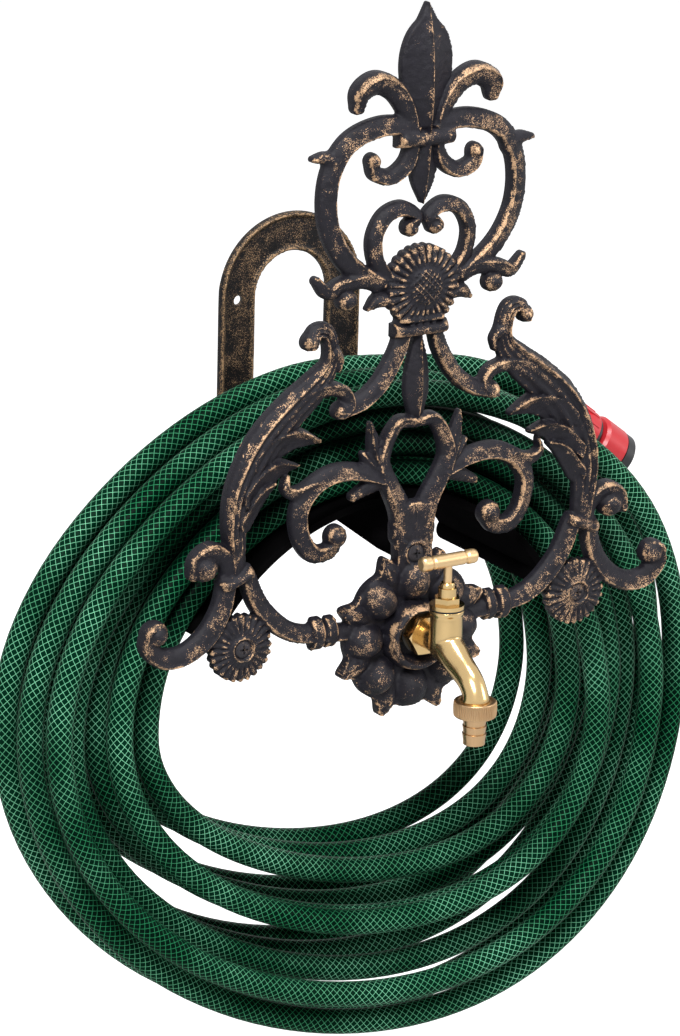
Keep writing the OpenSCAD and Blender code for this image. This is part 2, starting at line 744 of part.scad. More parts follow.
module tap_handle() {
    knob_d = handle_d * 1.07;
    knob_l = handle_len * 0.2;
    half = handle_len / 2;
    color(brass_dull)
        at_tap()
            translate([0, 0, handle_z])
                rotate([0, 0, handle_yaw])
                    difference() {
                        rotate([0, 90, 0])
                            rotate_extrude($fn = 64)
                                polygon(concat(
                                    [[0, -half], [knob_d * 0.34, -half], [knob_d * 0.45, -half + 0.8],
                                     [knob_d / 2, -half + 2.2], [knob_d / 2, -half + knob_l - 1.8],
                                     [handle_d * 0.43, -half + knob_l - 0.4], [handle_d * 0.43, -half + knob_l + 0.4],
                                     [handle_d / 2, -half + knob_l + 1.4]],
                                    [[handle_d / 2, half - knob_l - 1.4],
                                     [handle_d * 0.43, half - knob_l - 0.4], [handle_d * 0.43, half - knob_l + 0.4],
                                     [knob_d / 2, half - knob_l + 1.8], [knob_d / 2, half - 2.2],
                                     [knob_d * 0.45, half - 0.8], [knob_d * 0.34, half], [0, half]]));
                        translate([0, 0, -handle_d]) cylinder(d = stem_d + 2 * weld, h = handle_d + 1 + 2 * weld);
                    }
}

module valve_jumper() {
    color(brass_dull)
        at_tap()
            translate([0, 0, seat_top + weld + washer_t + weld]) {
                cylinder(d = chamber_d - 3, h = jumper_flange_t);
                cylinder(d = jumper_stem_d, h = jumper_flange_t + jumper_stem_len);
                translate([0, 0, -washer_t - 0.5]) cylinder(d = 2.4, h = washer_t + 1);
            }
}

module valve_washer() {
    color(rubber)
        at_tap()
            translate([0, 0, seat_top + weld])
                difference() {
                    cylinder(d = chamber_d - 4, h = washer_t);
                    translate([0, 0, -1]) cylinder(d = 2.4 + 2 * weld, h = washer_t + 2);
                }
}

// Union nut and hose tail, from the spout's end downwards

union_top = thread_top + 0.8;
union_low = union_top - union_h;
washer_top = thread_top - spout_thread_h - weld;
tail_washer_t = 1.2;
tail_top = washer_top - tail_washer_t - weld;
tail_flange_t = 1.2;
tail_low = union_low - tail_len;

module union_nut() {
    knurls = 40;
    color(brass_dull)
        at_tap()
            translate([0, spout_y, 0])
                difference() {
                    translate([0, 0, union_low]) {
                        cylinder(d = union_d - 1, h = union_h);
                        for (k = [0 : knurls - 1])
                            rotate([0, 0, 360 * k / knurls])
                                translate([union_d / 2 - 0.9, -0.55, 0.8]) cube([0.9, 1.1, union_h - 1.6]);
                    }
                    translate([0, 0, tail_top - tail_flange_t - face_gap]) cylinder(d = thread_d + 2 * run, h = union_h + 1);
                    translate([0, 0, union_low - 1]) cylinder(d = tail_d + 0.8, h = union_h);
                }
}

module hose_tail_piece() {
    root_d = tail_d - 1.4;
    barb_h = tail_len / (tail_barbs + 0.6);
    color(brass)
        at_tap()
            translate([0, spout_y, 0])
                difference() {
                    rotate_extrude()
                        polygon(concat(
                            [[0, tail_top], [thread_d / 2 - 0.8, tail_top], [thread_d / 2 - 0.8, tail_top - tail_flange_t],
                             [root_d / 2 + 0.6, tail_top - tail_flange_t]],
                            [for (k = [0 : tail_barbs - 1], e = [0, 1])
                                let (z = union_low - 1 - k * barb_h - e * barb_h * 0.96)
                                    [e == 0 ? tail_d / 2 : root_d / 2, z]],
                            [[root_d / 2, tail_low], [0, tail_low]]));
                    translate([0, 0, tail_low - 1]) cylinder(d = bore_d - 1, h = 60);
                }
}

module tail_washer() {
    color(rubber)
        at_tap()
            translate([0, spout_y, washer_top - tail_washer_t])
                difference() {
                    cylinder(d = thread_d - 1.6, h = tail_washer_t);
                    translate([0, 0, -1]) cylinder(d = bore_d, h = tail_washer_t + 2);
                }
}

// Hose. The coil winds over the saddle from the wall to the front and back again in
// layers, and each turn hangs below the saddle. u counts turns from the inner end.

loop_rings = 24;
hose_sides = 6;
layer_step = hose_d + layer_gap;
first_phase = 0.8333;
climb = 0.5;
back_y = -arch_t - hose_d / 2 - 1.5;
front_y = -saddle_front + hose_d / 2;
inner_top_r = saddle_top_r + hose_d / 2 + 1.6;
bead_over_r = saddle_mid_r + boss_d / 2 + hose_d / 2 + 1.8;
inner_half_w = inner_top_r + (bead_over_r - inner_top_r) / pow(sin(saddle_angle), 2);
inner_hang = 122;      // drop of the innermost turn below the centre of the saddle's arc
width_step = 25;       // each layer bulges this much further out at its sides
hang_step = 36;        // and hangs this much lower
swing_front = 28;      // the lower part of the coil swings to the right, most at the front
swing_back = 12;
swing_low = 22;
stand_off = 14;        // the outermost layer stands off the coil at its upper right

function ease(t) = let (c = min(1, max(0, t))) c * c * (3 - 2 * c);
function layer_of(u) = ease((u - layer_turns + climb / 2) / climb)
    + ease((u - 2 * layer_turns + climb / 2) / climb)
    + ease((u - 3 * layer_turns + climb / 2) / climb);
function coil_y(u) = (back_y + front_y) / 2
    + (back_y - front_y) / 2 * asin(0.985 * cos(180 * u / layer_turns)) / asin(0.985);
function swing(y, c) =
    let (front = (y - back_y) / (front_y - back_y))
        (swing_front * front + swing_back * (1 - front)) * pow(max(0, 0.55 - c) / 1.55, 1.5)
            + swing_low * pow(min(0, c), 2);
function coil_point(u) =
    let (
        t = 360 * (u + first_phase),
        layer = layer_of(u),
        y = coil_y(u),
        top_r = inner_top_r + layer * layer_step,
        half_w = inner_half_w + layer * width_step,
        hang = inner_hang + layer * hang_step,
        out = top_r + (half_w - top_r) * pow(sin(t), 2)
            + stand_off * max(0, layer - 2) * pow(max(0, sin(2 * t)), 2))
    [(cos(t) > 0 ? out : half_w) * sin(t) + swing(y, cos(t)), y, saddle_cz + (cos(t) > 0 ? top_r : hang) * cos(t)];

// Both ends leave the coil on free stretches, whose points were chosen by hand
inner_stretch = [[-143, -18.5, -170], [-146.5, -18, -154], [-147.6, -17, -139], [-146, -16, -125]];
outer_stretch = [[84, -48, 14], [118, -48, 7], [148, -47, -6], [172, -46, -21.5], [189, -45, -34],
    [205, -45, -46]];
ring_count = floor(hose_turns * loop_rings);
route = concat(inner_stretch, [for (i = [0 : ring_count]) coil_point(i / loop_rings)], outer_stretch);
inner_end = route[0];
inner_dir = unit(route[0] - route[1]);
outer_end = route[len(route) - 1];
outer_dir = unit(outer_end - route[len(route) - 2]);

least_gap = min([
    for (i = [0 : len(route) - 1], j = [i + loop_rings / 2 : 1 : len(route) - 1])
        norm(route[i] - route[j])]) - hose_d;
hose_length = sumv([for (i = [1 : len(route) - 1]) norm(route[i] - route[i - 1])]);
function sumv(v, i = 0, s = 0) = i >= len(v) ? s : sumv(v, i + 1, s + v[i]);
echo(least_gap = least_gap, hose_length = hose_length);

module hose_coil() {
    last = len(route) - 1;
    points = [
        for (i = [0 : last])
            let (
                d = i == 0 ? -inner_dir : i == last ? outer_dir : unit(route[i + 1] - route[i - 1]),
                n = unit(cross([0, 1, 0], d)),
                b = cross(d, n))
            for (k = [0 : hose_sides - 1])
                let (a = 360 * k / hose_sides)
                    route[i] + hose_d / 2 * (n * cos(a) + b * sin(a))];
    color(hose_green) skin(points, hose_sides);
}

// Quick connectors. Each is drawn along +Z from the hose's end and then set in line with it.

grip_floor = 3;
barrel_d = 20;
barrel_len = 40;
mouth_len = 8.5;
collar_lip = 3;
seal_d = 15;

module at_hose_end(point, dir) {
    turn = acos(dir[2]);
    axis = turn > 179.9 || turn < 0.1 ? [0, 1, 0] : cross([0, 0, 1], dir);
    translate(point) rotate(a = turn, v = axis) children();
}

module grip_nut() {
    color(grip_red)
        difference() {
            union() {
                translate([0, 0, -grip_len + 6]) cylinder(d1 = grip_d - 5, d2 = grip_d, h = grip_len - 8);
                translate([0, 0, 4 - 6]) cylinder(d = grip_d, h = 6);
                for (k = [0 : 11])
                    rotate([0, 0, 30 * k])
                        translate([grip_d / 2 - 1.5, -1.5, -grip_len + 10]) cube([2, 3, grip_len - 8]);
            }
            translate([0, 0, -grip_len]) cylinder(d = hose_d + 2 * weld, h = grip_len + weld);
            translate([0, 0, weld]) cylinder(d = barrel_d + 2 * weld, h = 20);
        }
}

module connector_barrel() {
    color(plastic_black)
        translate([0, 0, 2 * weld])
            difference() {
                union() {
                    cylinder(d = barrel_d, h = barrel_len);
                    translate([0, 0, 4 + 2 * weld]) cylinder(d = grip_d - 3, h = collar_lip);
                    translate([0, 0, barrel_len - mouth_len]) cylinder(d = sleeve_d - 0.6, h = mouth_len - 1.5);
                    translate([0, 0, barrel_len - 1.6]) cylinder(d1 = sleeve_d - 0.6, d2 = sleeve_d - 3.6, h = 1.6);
                }
                translate([0, 0, -1]) cylinder(d = bore_d, h = barrel_len + 2);
                translate([0, 0, barrel_len - 20]) cylinder(d = seal_d, h = 21);
            }
}

module release_sleeve() {
    start = 4 + collar_lip + 4 * weld + sleeve_travel + face_gap;
    color(grip_red)
        translate([0, 0, start])
            difference() {
                rotate_extrude($fn = 64)
                    polygon([[0, 0], [sleeve_d / 2 - 2, 0], [sleeve_d / 2, 2], [sleeve_d / 2, sleeve_len], [0, sleeve_len]]);
                translate([0, 0, -1]) cylinder(d = barrel_d + 2 * run, h = sleeve_len + 2);
            }
}

module connector_seal() {
    color(rubber)
        translate([0, 0, barrel_len - 20 + 3 * weld])
            difference() {
                cylinder(d = seal_d - 2 * weld, h = 2.5);
                translate([0, 0, -1]) cylinder(d = bore_d + 1, h = 5);
            }
}

module outer_grip_nut() { at_hose_end(outer_end, outer_dir) grip_nut(); }
module outer_connector() { at_hose_end(outer_end, outer_dir) connector_barrel(); }
module outer_sleeve() { at_hose_end(outer_end, outer_dir) release_sleeve(); }
module outer_seal() { at_hose_end(outer_end, outer_dir) connector_seal(); }
module inner_grip_nut() { at_hose_end(inner_end, inner_dir) grip_nut(); }
module inner_connector() { at_hose_end(inner_end, inner_dir) connector_barrel(); }
module inner_sleeve() { at_hose_end(inner_end, inner_dir) release_sleeve(); }
module inner_seal() { at_hose_end(inner_end, inner_dir) connector_seal(); }

wall_arch();
hose_saddle();
saddle_web();
saddle_edges();
front_ornament();
ornament_screws();
tap_body();
inlet_gasket();
tap_backnut();
bonnet_washer();
tap_bonnet();
gland_packing();
gland_nut();
tap_spindle();
tap_handle();
valve_jumper();
valve_washer();
union_nut();
hose_tail_piece();
tail_washer();
hose_coil();
outer_grip_nut();
outer_connector();
outer_sleeve();
outer_seal();
inner_grip_nut();
inner_connector();
inner_sleeve();
inner_seal();
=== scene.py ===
"""Wall hose holder: an antiqued cast-iron ornament with a brass garden tap, and a coil of braided
green hose on the saddle behind it. Everything is in metres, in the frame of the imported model:
X to the right, Y into the wall, Z up, with the origin on the wall between the screw holes."""

import json
import math

import bmesh
import bpy
import numpy as np
from mathutils import Matrix, Vector

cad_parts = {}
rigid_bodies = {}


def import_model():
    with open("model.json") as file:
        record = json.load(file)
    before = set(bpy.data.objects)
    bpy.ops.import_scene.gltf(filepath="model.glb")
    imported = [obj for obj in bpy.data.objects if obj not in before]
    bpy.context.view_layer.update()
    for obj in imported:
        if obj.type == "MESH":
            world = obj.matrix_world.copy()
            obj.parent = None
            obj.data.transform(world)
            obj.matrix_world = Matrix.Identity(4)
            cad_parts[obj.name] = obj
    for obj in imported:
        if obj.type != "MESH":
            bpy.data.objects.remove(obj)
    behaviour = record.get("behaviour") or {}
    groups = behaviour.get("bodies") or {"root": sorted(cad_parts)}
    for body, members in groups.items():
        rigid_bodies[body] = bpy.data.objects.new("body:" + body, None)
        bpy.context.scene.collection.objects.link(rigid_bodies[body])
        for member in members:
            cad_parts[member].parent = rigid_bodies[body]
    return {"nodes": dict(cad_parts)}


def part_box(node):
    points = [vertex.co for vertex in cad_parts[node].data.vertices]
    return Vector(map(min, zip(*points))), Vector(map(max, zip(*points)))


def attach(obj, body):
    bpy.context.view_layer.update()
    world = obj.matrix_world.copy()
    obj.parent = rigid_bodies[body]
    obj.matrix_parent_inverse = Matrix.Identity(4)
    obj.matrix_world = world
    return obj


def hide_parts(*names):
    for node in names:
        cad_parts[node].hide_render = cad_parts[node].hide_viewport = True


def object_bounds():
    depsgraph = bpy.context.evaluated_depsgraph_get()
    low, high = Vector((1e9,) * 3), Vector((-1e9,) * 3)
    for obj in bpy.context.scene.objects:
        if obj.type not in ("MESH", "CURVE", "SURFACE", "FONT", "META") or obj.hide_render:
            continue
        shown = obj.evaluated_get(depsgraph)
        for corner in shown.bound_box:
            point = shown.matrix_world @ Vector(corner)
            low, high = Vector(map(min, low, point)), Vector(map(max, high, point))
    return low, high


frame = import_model()
cad_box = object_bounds()
MM = 0.001


def placed(name, data):
    """An object with that data, in the scene."""
    made = bpy.data.objects.new(name, data)
    bpy.context.scene.collection.objects.link(made)
    return made


def photo_camera():
    """The photograph's camera: 32 degrees to the viewer's left, 17 degrees down, long lens."""
    turn = math.radians(32.0)
    tilt = math.radians(17.23)
    roll = math.radians(1.51)
    stand = np.array([-1558.3, -2564.7, 839.8]) * MM
    focal_px = 4735.5
    photo_height_px = 1036.0
    sensor_mm = 36.0
    right = np.array([math.cos(turn), -math.sin(turn), 0.0])
    ahead = np.array([math.sin(turn) * math.cos(tilt), math.cos(turn) * math.cos(tilt), -math.sin(tilt)])
    up = np.cross(right, ahead)
    cam_right = math.cos(roll) * right + math.sin(roll) * up
    cam_up = -math.sin(roll) * right + math.cos(roll) * up
    place = np.eye(4)
    place[:3, :3] = np.array([cam_right, cam_up, -ahead]).T
    place[:3, 3] = stand
    camera = placed("photo_camera", bpy.data.cameras.new("photo_camera"))
    camera.matrix_world = Matrix(place.tolist())
    camera.data.sensor_fit = "AUTO"
    camera.data.sensor_width = sensor_mm
    camera.data.lens = focal_px / photo_height_px * sensor_mm
    camera.data.clip_end = 50.0
    bpy.context.scene.camera = camera


photo_camera()


# Node trees

class Sock:
    """An output socket of a node tree. Operators on it add Math nodes."""

    def __init__(self, graph, socket):
        self.graph = graph
        self.socket = socket

    def _math(self, operation, *values):
        return self.graph.node("ShaderNodeMath", {"operation": operation}, dict(enumerate(values)))

    def __add__(self, other):
        return self._math("ADD", self, other)

    def __radd__(self, other):
        return self._math("ADD", other, self)

    def __sub__(self, other):
        return self._math("SUBTRACT", self, other)

    def __rsub__(self, other):
        return self._math("SUBTRACT", other, self)

    def __mul__(self, other):
        return self._math("MULTIPLY", self, other)

    def __rmul__(self, other):
        return self._math("MULTIPLY", other, self)

    def __truediv__(self, other):
        return self._math("DIVIDE", self, other)

    def __rtruediv__(self, other):
        return self._math("DIVIDE", other, self)

    def __neg__(self):
        return self._math("MULTIPLY", self, -1.0)

    def clamp(self):
        return self.graph.node("ShaderNodeClamp", {}, {"Value": self})

    def fract(self):
        return self._math("FRACT", self)

    def absolute(self):
        return self._math("ABSOLUTE", self)

    def at_least(self, other):
        return self._math("MAXIMUM", self, other)

    def at_most(self, other):
        return self._math("MINIMUM", self, other)

    def ramp(self, low, high):
        """0 below low, 1 above high, smooth between."""
        return self.graph.node(
            "ShaderNodeMapRange", {"interpolation_type": "SMOOTHSTEP"},
            {"Value": self, "From Min": low, "From Max": high})


class Graph:
    """A node tree whose nodes come from one method."""

    def __init__(self, tree):
        self.tree = tree

    def node(self, kind, settings=None, values=None, out=0):
        """A new node's output of that number or name, or the node itself where out is None."""
        made = self.tree.nodes.new(kind)
        for key, value in (settings or {}).items():
            setattr(made, key, value)
        for key, value in (values or {}).items():
            self.feed(made.inputs[key], value)
        return made if out is None else Sock(self, made.outputs[out])

    def feed(self, socket, value):
        if isinstance(value, Sock):
            self.tree.links.new(value.socket, socket)
        elif hasattr(socket.default_value, "__len__") and not hasattr(value, "__len__"):
            socket.default_value = [value] * len(socket.default_value)
        else:
            socket.default_value = value


class Mat(Graph):
    """A material around one Principled surface."""

    def __init__(self, name):
        self.material = bpy.data.materials.new(name)
        self.material.use_nodes = True
        super().__init__(self.material.node_tree)
        self.tree.nodes.clear()
        self.principled = self.node("ShaderNodeBsdfPrincipled", out=None)
        self.surface = Sock(self, self.principled.outputs[0])
        self.end = self.node("ShaderNodeOutputMaterial", {}, {"Surface": self.surface}, out=None)

    def set(self, **values):
        for key, value in values.items():
            self.feed(self.principled.inputs[key.replace("_", " ")], value)
        return self

    def place(self):
        return self.node("ShaderNodeTexCoord", out="Object")

    def attribute(self, name):
        return self.node("ShaderNodeAttribute", {"attribute_name": name}, out="Fac")

    def noise(self, where, scale, detail=3.0, rough=0.6):
        return self.node("ShaderNodeTexNoise", {}, {
            "Vector": where, "Scale": scale, "Detail": detail, "Roughness": rough})

    def mix(self, factor, a, b):
        """Colour between a and b. Inputs 6 and 7 and output 2 are the node's colour sockets."""
        return self.node("ShaderNodeMix", {"data_type": "RGBA"}, {0: factor, 6: a, 7: b}, out=2)

    def bump(self, height, strength, distance):
        return self.node("ShaderNodeBump", {}, {"Height": height, "Strength": strength, "Distance": distance})


def srgb(r, g, b):
    """Linear colour of screen values from 0 to 255."""
    def linear(v):
        v /= 255.0
        return v / 12.92 if v <= 0.04045 else ((v + 0.055) / 1.055) ** 2.4
    return (linear(r), linear(g), linear(b), 1.0)


# Finishes

def antiqued_iron(name, measured=True, dark=(17, 16, 21), bronze=(198, 158, 118), spread=0.0, clump=1.0):
    """Near-black iron with bronze powder on it: a thin rubbed line along each ridge and fine grains
    over whatever stands out. A measured piece has its ridge and proud attributes. spread adds
    bronze everywhere, and clump gathers it in patches."""
    mat = Mat(name)
    where = mat.place()
    ridge = mat.attribute("ridge").at_most(0.94) if measured else 0.0
    proud = (mat.attribute("proud") * 0.4).at_most(0.2) if measured else 0.12
    cloud = mat.noise(where, 45.0, 4.0, 0.62)
    patch = mat.noise(where, 170.0, 3.0, 0.6)
    grain = mat.noise(where, 1200.0, 2.0, 0.8)
    fleck = mat.noise(where, 2600.0, 1.0, 0.5)
    line = (ridge + (patch - 0.5) * 1.4 + (grain - 0.5) * 1.7 - 0.8).ramp(-0.04, 0.26)
    wide = (((cloud - 0.5) * 1.15 + (patch - 0.5)) * clump + proud + spread - 0.07).at_most(0.24)
    grains = (grain + (fleck - 0.5) * 0.6 + wide - 0.77).ramp(0.0, 0.08)
    mask = (line * 0.85 + grains * 0.9).clamp()
    body = mat.mix(patch, srgb(*dark), srgb(dark[0] + 17, dark[1] + 16, dark[2] + 20))
    metal = mat.mix(fleck, srgb(*bronze), srgb(bronze[0] + 54, bronze[1] + 50, bronze[2] + 48))
    mat.set(Base_Color=mat.mix(mask * 0.92, body, metal),
            Roughness=0.46 - mask * 0.08 + (patch - 0.5) * 0.2,
            Metallic=0.03 + mask * 0.4, Specular_IOR_Level=0.24,
            Normal=mat.bump(grain * 0.9 + patch * 0.8 + cloud * 0.8, 0.5, 0.0009))
    return mat.material


def black_iron(name):
    """Painted iron, dull and nearly black."""
    mat = Mat(name)
    where = mat.place()
    grain = mat.noise(where, 420.0, 4.0, 0.65)
    mat.set(Base_Color=mat.mix(mat.noise(where, 30.0), srgb(8, 8, 9), srgb(18, 17, 18)),
            Roughness=0.6 + (grain - 0.5) * 0.2, Specular_IOR_Level=0.0,
            Normal=mat.bump(grain, 0.3, 0.0006))
    return mat.material


def brass(name, colour, rough, grain_size=900.0, grain_deep=0.05):
    """Bare brass with a fine grain."""
    mat = Mat(name)
    where = mat.place()
    grain = mat.noise(where, grain_size, 2.0)
    cloud = mat.noise(where, 60.0, 3.0)
    lighter = tuple(min(1.0, c * 1.12) for c in colour[:3]) + (1.0,)
    mat.set(Base_Color=mat.mix(cloud, colour, lighter), Metallic=1.0,
            Roughness=rough + (cloud - 0.5) * 0.12,
            Normal=mat.bump(grain, grain_deep, 0.0003))
    return mat.material


def plastic(name, colour, rough, grain_deep=0.08):
    """Moulded plastic, rubber or yarn with a faint grain."""
    mat = Mat(name)
    where = mat.place()
    grain = mat.noise(where, 1500.0, 2.0)
    darker = tuple(c * 0.86 for c in colour[:3]) + (1.0,)
    mat.set(Base_Color=mat.mix(mat.noise(where, 40.0), colour, darker),
            Roughness=rough + (grain - 0.5) * 0.08,
            Normal=mat.bump(grain, grain_deep, 0.0002))
    return mat.material


def braided_hose(name):
    """Dark clear wall over a diamond net of thin bright yarn. The UV map counts yarns along the
    hose and around it. The sides that face another turn get painted shade: an attribute darkens
    their colour."""
    mat = Mat(name)
    wrap = mat.node("ShaderNodeUVMap", {"uv_map": "wrap"})
    along = mat.node("ShaderNodeSeparateXYZ", {}, {0: wrap}, out="X")
    around = mat.node("ShaderNodeSeparateXYZ", {}, {0: wrap}, out="Y")
    where = mat.place()
    fray = mat.noise(where, 240.0, 2.0)
    glow = mat.noise(where, 12.0, 2.0).ramp(0.3, 0.7)
    fibre = mat.noise(where, 1500.0, 1.0)

    def off_yarn(phase):
        """0 on a yarn, 1 midway between two."""
        return 1.0 - ((phase + (fray - 0.5) * 0.14).fract() - 0.5).absolute() * 2.0

    left = off_yarn(along + around)
    right = off_yarn(along - around)
    nearest = left.at_most(right)
    yarn = ((1.0 - nearest.ramp(0.02, 0.14)) * (0.27 + glow * 0.27 + fibre * 0.68)).clamp()
    ground = mat.mix(glow, srgb(0, 24, 15), srgb(1, 44, 27))
    pale = mat.mix(glow, srgb(60, 176, 116), srgb(158, 246, 200))
    # Painted shade: the colour goes near black where another turn lies close beside this one.
    shade = mat.attribute("turn_shade") * 0.9
    mat.set(Base_Color=mat.mix(shade, mat.mix(yarn, ground, pale), srgb(0, 9, 6)),
            Roughness=0.36 + (fray - 0.5) * 0.1, Specular_IOR_Level=0.02, Metallic=yarn * 0.12,
            Normal=mat.bump(nearest, 0.12, 0.0004))
    return mat.material


IRON_ORNAMENT = antiqued_iron("antiqued_iron_casting")
IRON_PLATE = antiqued_iron(
    "antiqued_iron_wall_plate", dark=(5, 4, 4), bronze=(150, 118, 82), spread=0.24, clump=0.5)
IRON_BLACK = black_iron("black_iron_saddle")
SCREW_DARK = antiqued_iron("blackened_screw", measured=False, dark=(40, 38, 40), bronze=(150, 120, 88))
BRASS_BRIGHT = brass("polished_brass", (0.62, 0.44, 0.21, 1.0), 0.2)
BRASS_SATIN = brass("satin_brass", (0.68, 0.48, 0.26, 1.0), 0.38, 700.0, 0.12)
BRASS_TURNED = brass("turned_brass", (0.50, 0.33, 0.18, 1.0), 0.32, 700.0, 0.12)
RED_GRIP = plastic("red_connector_plastic", srgb(206, 44, 52), 0.34)
BLACK_PLASTIC = plastic("black_connector_plastic", srgb(30, 30, 34), 0.42)
BLACK_RUBBER = plastic("black_rubber", srgb(20, 20, 20), 0.7, 0.2)
PACKING = plastic("waxed_yarn_packing", srgb(205, 198, 180), 0.8, 0.5)
HOSE_GREEN = braided_hose("green_braided_hose")

FINISH = {
    "hose_saddle": IRON_BLACK, "saddle_web": IRON_BLACK, "saddle_edges": IRON_BLACK,
    "wall_arch": IRON_PLATE, "front_ornament": IRON_ORNAMENT, "ornament_screws": SCREW_DARK,
    "tap_body": BRASS_BRIGHT, "tap_bonnet": BRASS_BRIGHT, "gland_nut": BRASS_BRIGHT,
    "tap_backnut": BRASS_SATIN, "tap_spindle": BRASS_SATIN, "tap_handle": BRASS_SATIN,
    "valve_jumper": BRASS_SATIN, "union_nut": BRASS_TURNED, "hose_tail_piece": BRASS_TURNED,
    "inlet_gasket": BLACK_RUBBER, "bonnet_washer": BLACK_RUBBER, "valve_washer": BLACK_RUBBER,
    "tail_washer": BLACK_RUBBER, "outer_seal": BLACK_RUBBER, "inner_seal": BLACK_RUBBER,
    "gland_packing": PACKING, "hose_coil": HOSE_GREEN,
    "outer_grip_nut": RED_GRIP, "inner_grip_nut": RED_GRIP,
    "outer_connector": BLACK_PLASTIC, "inner_connector": BLACK_PLASTIC,
    "outer_sleeve": RED_GRIP, "inner_sleeve": RED_GRIP,
}
for node_name, node_object in frame["nodes"].items():
    node_object.data.materials.clear()
    node_object.data.materials.append(FINISH[node_name])


def smooth(mesh):
    """Shade every face smooth."""
    mesh.polygons.foreach_set("use_smooth", [True] * len(mesh.polygons))


def new_piece(name, verts, faces, material, body):
    """A smooth piece that rides on a body. Its points are in metres."""
    mesh = bpy.data.meshes.new(name)
    mesh.from_pydata([tuple(v) for v in verts], [], [tuple(int(i) for i in f) for f in faces])
    mesh.materials.append(material)
    smooth(mesh)
    made = placed(name, mesh)
    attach(made, body)
    return made


def mark_points(piece, name, values):
    """Attribute of a piece with one value for each point."""
    layer = piece.data.attributes.new(name, "FLOAT", "POINT")
    layer.data.foreach_set("value", np.asarray(values, np.float32))


# Hose. The same route as the model's coil, with finer rings. All lengths from here on are in
# millimetres. The saddle's arc is given by its crown and the middle of the bead at each side.

HOSE_D = 17.0
HOSE_SIDES = 20
TURNS = 13.2
LOOP_RINGS = 24
RING_PARTS = 5
YARN_ALONG = 5.2
YARNS_AROUND = 11
LAYER_TURNS = 3.6
LAYER_STEP = HOSE_D + 0.6
CLIMB = 0.5
FIRST_PHASE = 0.8333
TURN_BACK = 0.985
PLATE_T = 5.0
SADDLE_T = 5.0
SADDLE_FRONT = 130.0
CROWN_Z = -41.0
SIDE_X = 126.0
SIDE_Z = -115.0
BEAD_D = 16.0
SADDLE_FALL = CROWN_Z - SADDLE_T / 2 - SIDE_Z
SADDLE_MID = (SIDE_X ** 2 + SADDLE_FALL ** 2) / (2 * SADDLE_FALL)
SADDLE_TOP = SADDLE_MID + SADDLE_T / 2
SADDLE_CZ = CROWN_Z - SADDLE_TOP
BACK_Y = -PLATE_T - HOSE_D / 2 - 1.5
FRONT_Y = -SADDLE_FRONT + HOSE_D / 2
INNER_TOP = SADDLE_TOP + HOSE_D / 2 + 1.6
OVER_BEAD = SADDLE_MID + BEAD_D / 2 + HOSE_D / 2 + 1.8
INNER_HALF = INNER_TOP + (OVER_BEAD - INNER_TOP) / (SIDE_X / SADDLE_MID) ** 2
INNER_HANG = 122.0
WIDTH_STEP = 25.0
HANG_STEP = 36.0
SWING_FRONT = 28.0
SWING_BACK = 12.0
SWING_LOW = 22.0
SWING_FROM = 0.55
STAND_OFF = 14.0
INNER_STRETCH = [[-143, -18.5, -170], [-146.5, -18, -154], [-147.6, -17, -139], [-146, -16, -125]]
OUTER_STRETCH = [[84, -48, 14], [118, -48, 7], [148, -47, -6], [172, -46, -21.5], [189, -45, -34],
                 [205, -45, -46]]


def ease(t):
    """0 before 0, 1 after 1, smooth between."""
    t = min(1.0, max(0.0, t))
    return t * t * (3 - 2 * t)


def coil_point(u):
    """Point of the coil after u turns from its inner end."""
    t = 2 * math.pi * (u + FIRST_PHASE)
    c = math.cos(t)
    s = math.sin(t)
    layer = sum(ease((u - k * LAYER_TURNS + CLIMB / 2) / CLIMB) for k in (1, 2, 3))
    wave = math.asin(TURN_BACK * math.cos(math.pi * u / LAYER_TURNS)) / math.asin(TURN_BACK)
    y = (BACK_Y + FRONT_Y) / 2 + (BACK_Y - FRONT_Y) / 2 * wave
    top = INNER_TOP + layer * LAYER_STEP
    half = INNER_HALF + layer * WIDTH_STEP
    hang = INNER_HANG + layer * HANG_STEP
    stand_off = STAND_OFF * max(0.0, layer - 2) * max(0.0, math.sin(2 * t)) ** 2
    out = top + (half - top) * s * s + stand_off
    front = (y - BACK_Y) / (FRONT_Y - BACK_Y)
    side_swing = SWING_FRONT * front + SWING_BACK * (1 - front)
    swing = side_swing * (max(0.0, SWING_FROM - c) / (1 + SWING_FROM)) ** 1.5 + SWING_LOW * min(0.0, c) ** 2
    if c > 0:
        return [out * s + swing, y, SADDLE_CZ + top * c]
    return [half * s + swing, y, SADDLE_CZ + hang * c]


def through(points, parts):
    """Catmull-Rom curve through the points, with that many parts for each of their stretches."""
    points = np.array(points, float)
    ends = np.vstack([2 * points[0] - points[1], points, 2 * points[-1] - points[-2]])
    out = []
    for i in range(len(points) - 1):
        a, b, c, d = ends[i:i + 4]
        for t in np.arange(parts) / parts:
            out.append(0.5 * (2 * b + (c - a) * t + (2 * a - 5 * b + 4 * c - d) * t ** 2
                              + (3 * b - a - 3 * c + d) * t ** 3))
    out.append(points[-1])
    return np.array(out)


def hose_route():
    rings = int(TURNS * LOOP_RINGS + 1e-6)
    coil = [coil_point(i / LOOP_RINGS) for i in range(rings + 1)]
    return through(INNER_STRETCH + coil + OUTER_STRETCH, RING_PARTS)


def unit_rows(rows):
    return rows / np.linalg.norm(rows, axis=1)[:, None]


def distances(route):
    """Length of the route up to each of its points."""
    return np.concatenate([[0], np.cumsum(np.linalg.norm(np.diff(route, axis=0), axis=1))])


